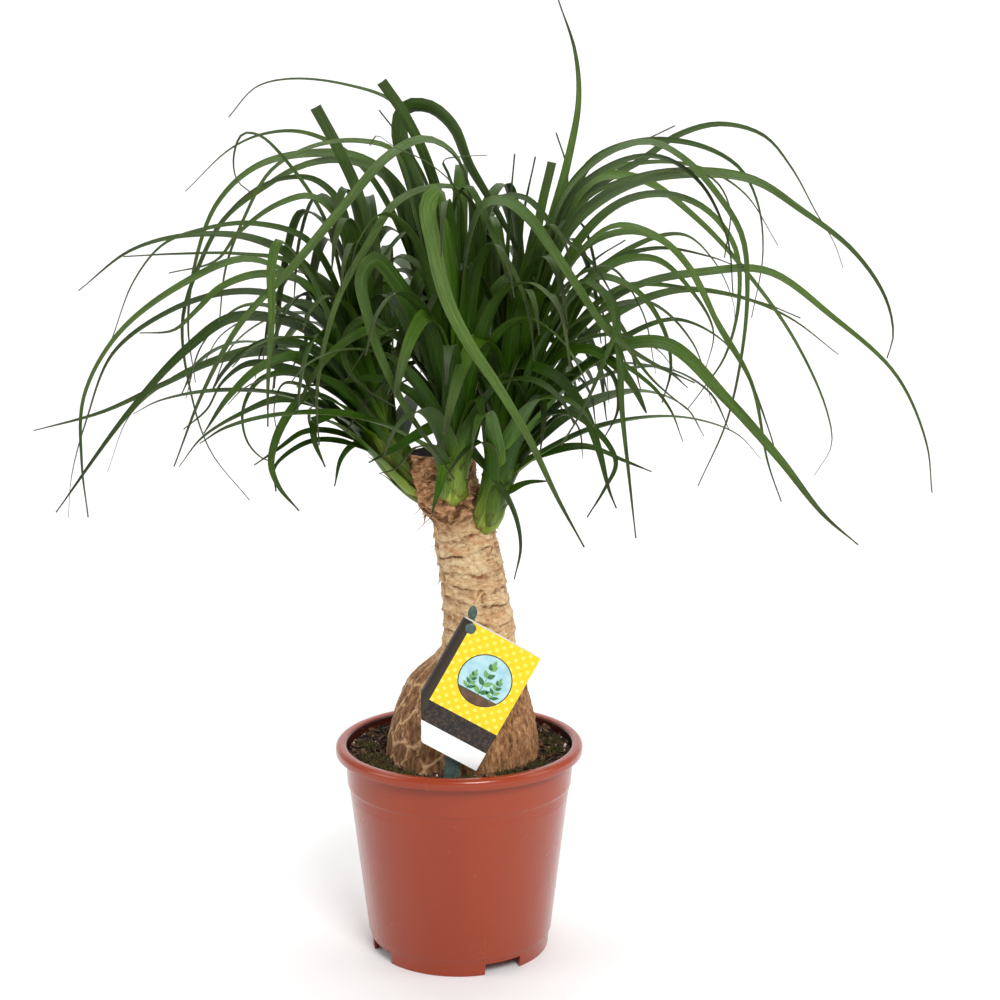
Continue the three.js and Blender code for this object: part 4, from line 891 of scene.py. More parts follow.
def add_stem(pile, shoot):
    share = np.linspace(0, 1, STEM_RINGS)
    middle = curve_at(SHOOTS[shoot]["line"], share)
    radius = STEM_SHARE * stem_radius(shoot, share)
    radius[-1] = STEM_TOP_RADIUS
    sides, normals = carried(np.gradient(middle, axis=0), np.array([0, 1.0, 0]))
    angle = full_turn(STEM_SIDES)[:, None]
    around = sides[:, None] * np.cos(angle) + normals[:, None] * np.sin(angle)
    pile.add(
        middle[:, None] + radius[:, None, None] * around, capped_faces(STEM_RINGS, STEM_SIDES),
        along=np.repeat(share * STEM_COLOUR_LENGTH, STEM_SIDES),
        tip=0.0, across=0.0, tone=0.5, green=0.0,
    )


def hugging(shoot, foot, heading, climb):
    """Points that climb a side of the stem from a foot, with the way ahead and the way out there."""
    above, off = np.transpose(climb)
    stem = curve_at(SHOOTS[shoot]["line"], np.clip(foot + above, 0, 1))
    ahead = unit(stem[-1] - stem[0])
    out = level_way(heading)
    out = unit(out - ahead * out.dot(ahead))
    return list(stem + out * (stem_radius(shoot, foot + above) * off)[:, None]), ahead, out


def add_sheaths(pile, shoot):
    """The lowest leaves: each hugs the stem from its foot and rises with it before it leans out."""
    count = SHOOTS[shoot]["sheaths"]
    for k in range(count):
        foot = between(SHEATH_FEET, k / count)
        points, ahead, out = hugging(shoot, foot, k * GOLDEN_TURN + SHEATH_TURN, SHEATH_CLIMB)
        rise, lean = CHANCE.uniform(*SHEATH_RISES), CHANCE.uniform(*SHEATH_LEANS)
        for up, aside in SHEATH_ARCH:
            point = points[-1] + ahead * rise * up + out * lean * aside
            point[2] = max(point[2], points[0][2] + LEAST_RISE)
            points.append(point)
        width, facing = CHANCE.uniform(*SHEATH_WIDTHS), CHANCE.uniform(*SHEATH_FACINGS)
        add_blade(pile, width, False, facing, points, SHEATH_GREEN, STUB_TAPER)


def add_stubs(pile, shoot):
    """Short old leaf bases, packed round the foot of the stem like scales."""
    for k in range(STUBS):
        foot = between(STUB_FEET, k / STUBS)
        points, ahead, out = hugging(shoot, foot, k * GOLDEN_TURN + STUB_TURN, STUB_CLIMB)
        rise, lean = CHANCE.uniform(*STUB_RISES), CHANCE.uniform(*STUB_LEANS)
        points.append(points[-1] + ahead * rise + out * lean)
        width, green = CHANCE.uniform(*STUB_WIDTHS), CHANCE.uniform(*STUB_GREENS)
        add_blade(pile, width, False, 0, points, green, STUB_TAPER)


def young_points(shoot, turn, height, age):
    """A young leaf: the older ones arch over and hang their tips, the youngest stand like spears."""
    lean = (stem_point(shoot, 1) - stem_point(shoot, 0)) * (YOUNG_LEAN, YOUNG_LEAN, 0)
    out = level_way(turn)
    root = root_of(shoot, 0.6 + 0.4 * age)
    if age > SPEAR_AGE:
        reach = between(SPEAR_REACH, age)
        curl = [(share, reach * share ** SPEAR_CURL) for share in SPEAR_STOPS]
        return [root + out * aside + lean * share + (0, 0, height * share) for share, aside in curl]
    reach = between(YOUNG_REACH, age)
    droop = CHANCE.uniform(*YOUNG_DROOPS)
    points = [root]
    for k, (share, up) in enumerate(YOUNG_ARCH):
        rise = up if k < YOUNG_APEX else 1 - (1 - up) * droop
        points.append(root + out * reach * share + lean * min(1, up) + (0, 0, height * rise))
    return points


def shoot_piece(shoot, leaves, material):
    pile = Pile()
    add_stem(pile, shoot)
    add_stubs(pile, shoot)
    add_sheaths(pile, shoot)
    for leaf in leaves:
        add_blade(pile, *leaf)
    count, tallest = SHOOTS[shoot]["young"], SHOOTS[shoot]["tallest"]
    for k in range(count):
        age = (k + 0.5) / count
        height = tallest * (0.5 + 0.5 * age) * CHANCE.uniform(*YOUNG_HEIGHTS)
        points = young_points(shoot, k * GOLDEN_TURN + YOUNG_TURN, height, age)
        width, facing = CHANCE.uniform(*YOUNG_WIDTHS), CHANCE.uniform(*YOUNG_FACINGS)
        add_blade(pile, width, False, facing, points, taper=BLUNT_TAPER)
    return pile.made(shoot + "_leaves", [material], shoot, "leaf")


# Trunk

def trunk_at(z):
    """Sideways place of the trunk's middle, and its plain radius, at each height."""
    rows = TRUNK_ROWS
    k = np.clip(np.searchsorted(rows[:, 0], z, side="right") - 1, 0, len(rows) - 2)
    below, above = rows[k], rows[k + 1]
    before, after = rows[np.maximum(k - 1, 0)], rows[np.minimum(k + 2, len(rows) - 1)]
    span = above[:, 0] - below[:, 0]
    t = np.clip((z - below[:, 0]) / span, 0, 1)

    def ease(column):
        slope0 = (above[:, column] - before[:, column]) / (above[:, 0] - before[:, 0])
        slope1 = (after[:, column] - below[:, column]) / (after[:, 0] - below[:, 0])
        start = (1 + 2 * t) * (1 - t) ** 2 * below[:, column] + t * (1 - t) ** 2 * span * slope0
        return start + t * t * (3 - 2 * t) * above[:, column] + t * t * (t - 1) * span * slope1

    return ease(1), ease(2)


def cloud(points, scale, octaves=4, seed=0.0):
    """Soft noise from about -1 to 1 at each point, whose features are of the given size."""
    scaled = np.asarray(points, float) / np.asarray(scale, float) + seed
    flat = scaled.reshape(-1, 3)
    values = [noise.fractal(p, 0.9, 2.1, octaves, noise_basis="PERLIN_ORIGINAL") for p in flat.tolist()]
    return np.array(values).reshape(scaled.shape[:-1])


def net(angle, z):
    """How close each place is to the net between the bark's plates: 1 on it, 0 inside a plate."""
    jitter = CHANCE.uniform(0.12, 0.88, (PLATE_COLUMNS, PLATE_ROWS, 2))
    u = angle / (2 * math.pi) * PLATE_COLUMNS
    v = (z - PLATE_BOTTOM) / PLATE_HEIGHT
    column, row = np.floor(u).astype(int), np.floor(v).astype(int)
    distances = []
    for right in (-1, 0, 1):
        for up in (-1, 0, 1):
            spot = jitter[(column + right) % PLATE_COLUMNS, np.clip(row + up, 0, PLATE_ROWS - 1)]
            aside, above = column + right + spot[..., 0] - u, row + up + spot[..., 1] - v
            distances.append(np.hypot(aside, above * PLATE_SQUASH))
    nearest = np.sort(np.array(distances), 0)
    return bell(nearest[1] - nearest[0], NET_WIDTH)


def summed(heights, **marks):
    """Relief of several kinds of marks, each times its height."""
    return sum(heights[kind] * mark for kind, mark in marks.items())


def bud_relief(turn, height):
    """An eye-shaped scar of a dormant bud: a low rim, a shallow inside and a slit."""
    across = (turn - math.radians(BUD_SCAR["turn"]) + math.pi) % (2 * math.pi) - math.pi
    u = across * BUD_SCAR["trunk_radius"] / BUD_SCAR["half_width"]
    v = (height - BUD_SCAR["height"]) / BUD_SCAR["half_height"]
    eye = np.abs(u) + v * v
    slit = bell(u, 0.14) * (np.abs(v) < 0.7)
    return summed(BUD_RELIEF, rim=bell(eye - 1, 0.22), inside=eye < 0.85, slit=slit)


def caudex_bark(turn, height, waver, grain, fissure):
    """Relief of the caudex, plates in a raised net but furrows on one side, and where the net shows."""
    ridge = net(turn + 0.12 * waver + 0.05 * grain, height + 7 * waver + 2.5 * grain)
    rough = smoothstep(np.cos(turn + ROUGH_SIDE_TURN), 0.1, 0.75)
    plates = summed(PLATE_RELIEF, net=ridge, sunk=1, fissure=fissure)
    furrows = summed(ROUGH_RELIEF, fissure=fissure, net=ridge)
    return plates * (1 - rough) + furrows * rough, ridge * (1 - rough)


def ringed_bark(plain, turn, height, waver, grain, fissure):
    """Relief of the trunk's leaf-scar rings, their dark cracks, and the number of the ring."""
    sway = np.sin(turn + height / 31) + 0.6 * np.sin(2 * turn - height / 17)
    ring = (height + 3.2 * sway + 4 * waver) / SCAR_SPACING
    share = ring - np.floor(ring)
    broken = smoothstep(cloud(plain, *RING_BREAKS), -0.35, 0.25)
    groove = bell(np.minimum(share, 1 - share), 0.055) * broken
    flake = bell(share - 0.14, 0.1) * broken
    wrinkle = smoothstep(cloud(plain + 40, *WRINKLES), 0.34, 0.55)
    marks = {"step": 0.5 - share, "groove": groove, "flake": flake}
    relief = summed(RING_RELIEF, **marks, grain=grain, fissure=fissure, wrinkle=wrinkle)
    cracks = np.maximum(0.65 * np.clip(groove, 0, 1), 0.4 * wrinkle * broken)
    return relief + bud_relief(turn, height), cracks, np.floor(ring)


def trunk_piece(material):
    z = np.linspace(TRUNK_ROWS[0, 0], TRUNK_ROWS[-1, 0], TRUNK_RINGS)
    angle = full_turn(TRUNK_SECTORS)
    middle, radius = trunk_at(z)
    turn, height = np.meshgrid(angle, z)

    def at_reach(reach):
        return np.stack([middle[:, None] + reach * np.cos(turn), reach * np.sin(turn), height], -1)

    plain = at_reach(radius[:, None])
    waver, grain, fissure = (cloud(plain, *kind) for kind in (WAVER, GRAIN, FISSURES))
    neck = smoothstep(height, *NECK)
    crown = smoothstep(height + 5 * waver, *CROWN)
    caudex, ridge = caudex_bark(turn, height, waver, grain, fissure)
    stem, cracks, ring = ringed_bark(plain, turn, height, waver, grain, fissure)
    swirl = cloud(plain + 14 * waver[..., None], *SWIRL)
    old_bases = summed(CROWN_RELIEF, swirl=swirl, grain=grain)
    relief = caudex * (1 - neck) + stem * neck * (1 - crown) + old_bases * crown
    # Darker in the ring cracks, the bark's own dark cracks, and in the low gaps between the old leaf bases of
    # the crown, which is painted shade.
    dark = cracks * neck * (1 - crown) + crown * smoothstep(-swirl, 0.0, 0.45)

    reach = radius[:, None] + relief
    inward = np.linspace(1, 0, SAWN_RINGS + 1)[1:]
    top = np.stack([
        middle[-1] + np.outer(inward, reach[-1] * np.cos(angle)),
        np.outer(inward, reach[-1] * np.sin(angle)),
        np.repeat(z[-1] - SAWN_DISH * (1 - inward[:, None] ** 2), TRUNK_SECTORS, 1),
    ], -1)
    top[..., 2] += 0.5 * cloud(top, *SAW_MARKS)
    corners = np.concatenate([at_reach(reach), top])

    def whole(values, on_top):
        return np.concatenate([values, np.full(top.shape[:2], on_top)]).ravel()

    pile = Pile()
    pile.add(
        corners, grid_faces(len(corners), TRUNK_SECTORS) + [list(range(TRUNK_SECTORS))],
        ridge=whole(ridge * (1 - neck), 0.0), height=whole(relief, 0.0), dark=whole(dark, 0.0),
        neck=whole(neck, 1.0), crown=whole(crown, 1.0), sawn=whole(0 * neck, 1.0),
        pale=whole(0.5 + 0.5 * np.sin(ring * 2.4), 0.0),
    )
    return pile.made("trunk_bark", [material], "trunk", "bark", crease=80)


def add_strip(pile, points, width, **values):
    """A thin tapering strip along a few points, three-sided."""
    points = np.asarray(points, float)
    rings = []
    for k, (point, along) in enumerate(zip(points, np.gradient(points, axis=0))):
        side = unit(np.cross(along, STRIP_FACING))
        up = unit(np.cross(side, along))
        half = width / 2 * (1 - STRIP_TAPER * k / (len(points) - 1))
        rings.append([point + side * half, point - side * half, point + up * STRIP_THICKNESS])
    pile.add(np.array(rings), capped_faces(len(points), 3), **values)


def bark_shreds(material):
    """Loose fibres and flakes that peel off the trunk, most of them round the feet of the shoots."""
    pile = Pile()
    steps = np.linspace(0, 1, SHRED_STEPS)[:, None]
    for k in range(SHREDS):
        band = UPPER_SHREDS if k % 3 > 0 else LOWER_SHREDS
        kind = FIBRE if k % 9 > 0 else FLAKE
        z = CHANCE.uniform(*band["heights"])
        angle = CHANCE.uniform(0, 2 * math.pi)
        middle, radius = (value[0] for value in trunk_at(np.array([z])))
        out = np.array([math.cos(angle), math.sin(angle), 0])
        around = np.array([-out[1], out[0], 0]) * CHANCE.choice([-1, 1])
        start = np.array([middle, 0, z]) + out * (radius - SHRED_ROOTING)
        length = CHANCE.uniform(*band["lengths"])
        drop = CHANCE.uniform(*kind["drops"])
        lift = CHANCE.uniform(*SHRED_LIFTS) * band["lift"]
        bend = around * steps + np.array([0, 0, drop]) * steps ** 1.4 + out * lift * steps ** 1.7
        width = CHANCE.uniform(*kind["widths"])
        add_strip(pile, start + bend * length, width, tone=CHANCE.uniform(*kind["tones"]))
    return pile.made("bark_shreds", [material], slot="bark")


# Soil

def soil_height(x, y):
    """Level of the soil: banked a little towards the wall, and low round the caudex."""
    return SOIL_TOP - SOIL_DIP + SOIL_BANK * smoothstep(np.hypot(x, y), *SOIL_BANK_REACH)


def soil_piece(material):
    reach = np.linspace(SOIL_RADIUS, SOIL_INNER_RADIUS, SOIL_RINGS)
    surface = rings_of(np.column_stack([reach, 0 * reach]), SOIL_SECTORS)
    surface[..., 2] = soil_height(surface[..., 0], surface[..., 1])
    lumps, grains = cloud(surface, *SOIL_LUMPS), np.abs(cloud(surface, *SOIL_GRAINS))
    surface[..., 2] += SOIL_LUMP_HEIGHT * lumps + SOIL_GRAIN_HEIGHT * grains - SOIL_SINK
    ends = [rings_of(profile, SOIL_SECTORS) for profile in (SOIL_WALL, [SOIL_HOLE])]
    corners = np.concatenate([ends[0], surface, ends[1]])
    pile = Pile()
    pile.add(corners, capped_faces(len(corners), SOIL_SECTORS))
    return pile.made("soil_surface", [material], "soil", "potting_soil", crease=80)


def bare_spot():
    """A place on the soil between the caudex and the pot's wall."""
    while True:
        x, y = CHANCE.uniform(-SOIL_RADIUS, SOIL_RADIUS, 2)
        clear = CRUMB_CLEARANCE < math.hypot(x - CAUDEX_X, y)
        if clear and math.hypot(x, y) < SOIL_RADIUS - CRUMB_MARGIN:
            return x, y


def unit_ball():
    """Corners and faces of a small round ball."""
    ball = bmesh.new()
    bmesh.ops.create_icosphere(ball, subdivisions=2, radius=1)
    shape = np.array([v.co for v in ball.verts])
    faces = [[v.index for v in f.verts] for f in ball.faces]
    ball.free()
    return shape, faces


def soil_bits(materials):
    """Clods, bark crumbs, pale grains and fibres that lie on the soil."""
    shape, faces = unit_ball()
    pile = Pile()
    for k in range(CRUMBS):
        x, y = bare_spot()
        pale = k % 7 == 0
        size = CHANCE.uniform(*(PALE_GRAIN_SIZES if pale else CRUMB_SIZES))
        if not pale:
            size += LARGEST_EXTRA * CHANCE.uniform(0, 1) ** 3
        squash = CHANCE.uniform(0.45, 1.0, 3)
        knobbly = 1 + 0.35 * cloud(shape + k, 0.9, 2)[:, None]
        level = soil_height(x, y) + CRUMB_LIFT + LIFT_PER_SIZE * size
        corners = shape * knobbly * squash * size + (x, y, level)
        pile.add(corners, faces, slot=1 if pale else 0, tone=CHANCE.uniform(0, 1))
    steps = np.linspace(-0.5, 0.5, 6)[:, None]
    for _ in range(FIBRES):
        x, y = bare_spot()
        heading = CHANCE.uniform(0, 2 * math.pi)
        length = CHANCE.uniform(*FIBRE_LENGTHS)
        out = np.array([math.cos(heading), math.sin(heading), CHANCE.uniform(-0.1, 0.3)])
        bow = np.array([math.sin(heading), -math.cos(heading), 0.5]) * CHANCE.uniform(-FIBRE_BOW, FIBRE_BOW)
        middle = np.array([x, y, soil_height(x, y) + FIBRE_LIFT])
        points = middle + length * (out * steps + bow * (0.25 - steps ** 2))
        if np.hypot(points[:, 0], points[:, 1]).max() < SOIL_RADIUS - FIBRE_MARGIN:
            add_strip(pile, points, CHANCE.uniform(*FIBRE_WIDTHS), slot=2, tone=CHANCE.uniform(0, 1))
    return pile.made("soil_bits", materials, slot="potting_soil", crease=80)


def moss_piece(material):
    """Little upright leaflets of moss in patches, thickest at the left."""
    faces = [[0, 1, 3], [0, 3, 2], [0, 2, 1], [4, 3, 1], [4, 2, 3], [4, 1, 2]]
    pile = Pile()
    for x0, y0, size in MOSS_PATCHES:
        for _ in range(int(size * LEAFLETS_PER_SIZE)):
            reach = size * math.sqrt(CHANCE.uniform(0, 1))
            turn = CHANCE.uniform(0, 2 * math.pi)
            x, y = x0 + reach * math.cos(turn), y0 + reach * math.sin(turn)
            outside = math.hypot(x, y) > SOIL_RADIUS - MOSS_MARGIN
            if outside or math.hypot(x - CAUDEX_X, y) < MOSS_CLEARANCE:
                continue
            base = np.array([x, y, soil_height(x, y) + LEAFLET_LIFT])
            lean = CHANCE.uniform(-LEAFLET_LEAN, LEAFLET_LEAN, 3) + (0, 0, LEAFLET_RISE)
            tall = CHANCE.uniform(*LEAFLET_HEIGHTS)
            side = unit(np.cross(lean, (CHANCE.uniform(-1, 1), 1, 0.1))) * LEAFLET_HALF_WIDTH
            middle, tip = base + lean * tall * 0.5, base + lean * tall
            keel = unit(np.cross(lean, side)) * LEAFLET_KEEL
            corners = [base, middle + side, middle - side, middle + keel, tip]
            pile.add(corners, faces, tone=CHANCE.uniform(0, 1))
    return pile.made("moss", [material], slot="potting_soil")


# Pot

def cutter(make, scale, place, turn=0.0, **shape):
    """A shape of unit size, scaled, placed and turned, to cut with."""
    work = bmesh.new()
    make(work, **shape)
    mesh = bpy.data.meshes.new("cutter")
    work.to_mesh(mesh)
    work.free()
    made = bpy.data.objects.new("cutter", mesh)
    made.scale = [value * MM for value in scale]
    made.location = [value * MM for value in place]
    made.rotation_euler[2] = turn
    bpy.context.scene.collection.objects.link(made)
    return made


def cut_from(piece, cutters):
    """Cuts the given objects out of a piece, and removes them."""
    for tool in cutters:
        cut = piece.modifiers.new("cut", "BOOLEAN")
        cut.object = tool
        cut.operation = "DIFFERENCE"
        cut.solver = "EXACT"
    shaped = bpy.data.meshes.new_from_object(piece.evaluated_get(bpy.context.evaluated_depsgraph_get()))
    piece.modifiers.clear()
    piece.data = shaped
    for tool in cutters:
        bpy.data.objects.remove(tool)


def near(radius, height, *moves):
    """Points of a profile that round a corner of it, at moves from the sharp corner."""
    return [(radius + out, height + up) for out, up in moves]


def pot_profile():
    """Radius and height all round the pot's wall: under the floor, up the outside, over the rim, and in."""
    inner = FOOT_RADIUS - FOOT_WALL
    collar_foot = COLLAR_BOTTOM_RADIUS + COLLAR_STEP
    return [
        (AXIS_RADIUS, FLOOR_BOTTOM),
        *near(inner, FLOOR_BOTTOM, (-1, 0), (0, -1)),
        *near(inner, 0, (0, 0.5), (0.4, 0)),
        *arc((FOOT_RADIUS - 0.6, 0.6), 0.6, -90, 0, 4),
        *near(FOOT_RADIUS, FOOT_HEIGHT, (0.95, -0.5), (1.3, 0.1)),
        *near(BODY_BOTTOM_RADIUS, FOOT_HEIGHT, (-0.25, 0.75), (0.1, 1.6)),
        *near(BAND_BOTTOM_RADIUS, BAND_BOTTOM, (-0.08, -0.7), (0.16, 0), (0.15, 0.8), (0.3, 1.8)),
        *near(COLLAR_BOTTOM_RADIUS, COLLAR_BOTTOM, (-0.15, -1.4), (0, -0.4), (0.2, 0)),
        *near(collar_foot, COLLAR_BOTTOM, (-0.1, 0.8), (0, 1.6), (0.07, 2.8)),
        *near(COLLAR_TOP_RADIUS, POT_HEIGHT, (0, -4.6), (0.9, -3.6)),
        *near(RIM_RADIUS, POT_HEIGHT, (-2.4, -3.6), (-1.8, -4.2)),
        *near(RIM_RADIUS, RIM_SKIRT_BOTTOM, (-1.8, 0.3), (-1.5, 0), (-0.6, 0), (-0.1, 0.7)),
        *arc((RIM_RADIUS - 3.6, POT_HEIGHT - 3.6), 3.6, 0, 90, 9),
        *arc((RIM_RADIUS - 5.5, POT_HEIGHT - 2.6), 2.6, 90, 170, 8, stretch=1.2),
        (COLLAR_TOP_RADIUS - POT_WALL, POT_HEIGHT - 6), (collar_foot - POT_WALL, COLLAR_BOTTOM + 1.4),
        (COLLAR_BOTTOM_RADIUS - POT_WALL, COLLAR_BOTTOM), (BAND_BOTTOM_RADIUS - POT_WALL, BAND_BOTTOM),
        *near(BODY_BOTTOM_RADIUS - POT_WALL, FLOOR_TOP, (1, 1), (-0.6, 0)),
        (AXIS_RADIUS, FLOOR_TOP),
    ]


def pot_piece(material):
    pile = Pile()
    pile.add(*turned(pot_profile(), POT_SECTORS))
    pot = pile.made("pot_body", [material], "pot", "pot_plastic", crease=35)
    cutters = []
    for k in range(FOOT_SLOTS):
        turn = math.radians(FOOT_SLOT_TURN + 360 * k / FOOT_SLOTS)
        place = (FOOT_RADIUS * math.cos(turn), FOOT_RADIUS * math.sin(turn), 0)
        cutters.append(cutter(bmesh.ops.create_cube, FOOT_SLOT_SIZE, place, turn, size=1))
    drill = {"cap_ends": True, "segments": 32, "radius1": 1, "radius2": 1, "depth": 1}
    for k in range(DRAIN_HOLES + 1):
        turn = 2 * math.pi * k / DRAIN_HOLES
        reach = DRAIN_CIRCLE if k else 0
        place = (reach * math.cos(turn), reach * math.sin(turn), FLOOR_TOP)
        cutters.append(cutter(bmesh.ops.create_cone, (DRAIN_RADIUS, DRAIN_RADIUS, FLOOR_TOP), place, **drill))
    cut_from(pot, cutters)
    settle(pot, 35)
    return pot


# Stake and card

def stake_piece(material):
    foot, top = np.array(STAKE_FOOT, float), np.array(STAKE_TOP, float)
    length = np.linalg.norm(top - foot)
    along = (top - foot) / length
    across = np.array([along[1], -along[0]])
    neck_end = length - KNOB_LENGTH
    half = [
        (STAKE_TIP_HALF_WIDTH, 0), (STAKE_HALF_WIDTH, STAKE_POINT_LENGTH), (STAKE_HALF_WIDTH, STAKE_SHOULDER),
        (STAKE_NECK_HALF_WIDTH, STAKE_NECK), (STAKE_NECK_HALF_WIDTH, neck_end),
    ]
    for share in np.linspace(0.12, 0.98, 9):
        half.append((KNOB_HALF_WIDTH * math.sin(math.pi * share) ** 0.6, neck_end + KNOB_LENGTH * share))
    outline = [foot + along * up + across * wide for wide, up in half]
    outline += [foot + along * up - across * wide for wide, up in half[::-1]]
    inward = np.mean(outline, 0)[0] - np.array(outline)[:, 0]

    front, back = STAKE_THICKNESS - STAKE_BEVEL, STAKE_BEVEL
    rings = []
    for depth, shrink in ((back, STAKE_BEVEL), (0, 0), (back - front, 0), (-front, STAKE_BEVEL)):
        inset = np.sign(inward) * np.minimum(shrink, np.abs(inward) / 2)
        rings.append([(x + move, STAKE_Y - back + depth, z) for (x, z), move in zip(outline, inset)])
    pile = Pile()
    pile.add(np.array(rings), capped_faces(len(rings), len(outline)))

    reach = STAKE_THICKNESS + GAP + 2 * CARD_FOLD_RADIUS + CARD_THICKNESS + GAP
    corners, faces = turned([
        (AXIS_RADIUS, PIN_START), (PIN_RADIUS, PIN_START), (PIN_RADIUS, reach),
        *near(PIN_HEAD_RADIUS, reach, (-0.5, 0), (0, 0.3), (-0.5, 0.9)),
        (PIN_HEAD_RADIUS / 2, reach + PIN_HEAD_THICKNESS - 0.1), (AXIS_RADIUS, reach + PIN_HEAD_THICKNESS),
    ], PIN_SECTORS)
    pin = np.stack([PIN_AT[0] + corners[:, 0], STAKE_Y - corners[:, 2], PIN_AT[1] + corners[:, 1]], -1)
    pile.add(pin, faces)
    return pile.made("stake_and_pin", [material], "label_stake", "stake_plastic", crease=40)


def on_card(across, down, out=0.0):
    """The place of a point of the card: across from the fold's start, down from its top edge."""
    x = CARD_FOLD_OUT + across
    turned_x = x * math.cos(CARD_TURN) - down * math.sin(CARD_TURN)
    turned_z = -x * math.sin(CARD_TURN) - down * math.cos(CARD_TURN)
    return CARD_CORNER[0] + turned_x, CARD_FRONT_Y + out, CARD_CORNER[1] + turned_z


def card_section():
    """Places across the card and behind its front, with the way off its outside: front, fold and back."""
    section = [(u, 0.0, 0.0, 1.0) for u in np.linspace(CARD_WIDTH, 0, 34)]
    for a in np.radians(np.linspace(8, 172, 22)):
        normal = unit(np.array([-math.sin(a) / CARD_FOLD_OUT, math.cos(a) / CARD_FOLD_RADIUS]))
        section.append((-CARD_FOLD_OUT * math.sin(a), CARD_FOLD_RADIUS * (1 - math.cos(a)), *normal))
    back = np.linspace(0, CARD_WIDTH - CARD_BACK_SHORTER, 20)
    return section + [(u, 2 * CARD_FOLD_RADIUS - u / CARD_WIDTH, 0.0, -1.0) for u in back]


def card_piece(material):
    """The folded card, as a sheet along its section, with its lower corner at the fold trimmed."""
    section, downs = card_section(), np.linspace(0, 1, 40)
    count, columns = len(section), len(downs)
    half = CARD_THICKNESS / 2
    corners, u_values, v_values = [], [], []
    for sign in (1, -1):
        for across, depth, n_across, n_out in section:
            limit = min(CARD_HEIGHT, (on_card(across, 0)[0] - CARD_TRIM_X) / math.sin(CARD_TURN))
            for share in downs:
                lift = half - (CARD_EDGE_BEVEL if share in (0, 1) else 0)
                aside, behind = across + sign * n_across * half, depth - sign * n_out * lift
                corners.append(on_card(aside, share * limit, behind))
                u_values.append(across)
                v_values.append(share * limit)
    side = grid_faces(count, columns, closed=False)
    shift = count * columns
    faces = side + [[corner + shift for corner in face[::-1]] for face in side]
    rim = [(k * columns + end, (k + 1) * columns + end) for k in range(count - 1) for end in (0, columns - 1)]
    rim += [(k * columns + j, k * columns + j + 1) for k in (0, count - 1) for j in range(columns - 1)]
    faces += [[a, b, b + shift, a + shift] for a, b in rim]
    pile = Pile()
    pile.add(corners, faces, u=u_values, v=v_values, outside=np.repeat([1.0, 0.0], shift))
    return pile.made("card_sheet", [material], "label_card", "card_plastic", crease=40)


def disc(across, down, radius, start=0, end=360):
    """Outline of a round panel, or of the piece of it between two turns, as places across and down."""
    turns = np.radians(np.linspace(start, end, 48, endpoint=end - start < 360))
    return [(across + radius * math.cos(turn), down + radius * math.sin(turn)) for turn in turns]


def leaflet(across, down, length, width, lean):
    """Outline of an oval pointed leaf that grows from a place at a lean from upright."""
    a = math.radians(lean)
    way, side = np.array([math.sin(a), -math.cos(a)]), np.array([math.cos(a), math.sin(a)])
    points = []
    for sign, shares in ((1, np.linspace(0, 1, 9)), (-1, np.linspace(1, 0, 9)[1:-1])):
        for share in shares:
            out = sign * width / 2 * math.sin(math.pi * share ** 0.8)
            points.append((across, down) + way * length * share + side * out)
    return points


def card_print(materials):
    """A plain made-up design: a round panel with three sprigs of oval leaves on a mound of earth."""
    frame_ink, sky, earth, leaf, pale_leaf = range(5)
    pile = Pile()

    def shape(points, layer, slot):
        out = -CARD_THICKNESS / 2 - PRINT_LIFT * layer
        corners = [on_card(across, down, out) for across, down in points]
        pile.add(corners, [list(range(len(points)))], slot=slot)

    across, down = PANEL_AT
    shape(disc(across, down, PANEL_RADIUS), 1, frame_ink)
    shape(disc(across, down, PANEL_RADIUS - PANEL_RIM), 2, sky)
    shape(disc(across, down, PANEL_RADIUS - PANEL_RIM, *MOUND_TURNS), 3, earth)
    foot = down + SPRIG_FOOT
    for aside, height, size in SPRIGS:
        stem = across + aside
        shape([(stem - SPRIG_STALK, foot), (stem + SPRIG_STALK, foot), (stem, foot - height)], 4, leaf)
        for pair in range(SPRIG_PAIRS):
            at = foot - LOWEST_PAIR - pair * (height - 5) / (SPRIG_PAIRS - 0.8)
            length, lean = size * (1 - LENGTH_STEP * pair), FIRST_LEAN - LEAN_STEP * pair
            for sign in (-1, 1):
                tone = leaf if (pair + (sign > 0)) % 2 else pale_leaf
                shape(leaflet(stem, at, length, size * SLIMNESS, sign * lean), 4 + pair, tone)
        top, long, wide = (TOP_LEAFLET[key] for key in ("below", "length", "width"))
        leaf_at_top = leaflet(stem, foot - height + top, size * long, size * wide, 0)
        shape(leaf_at_top, 4 + SPRIG_PAIRS, pale_leaf)
    return pile.made("card_print", materials, slot="card_plastic")


# Materials

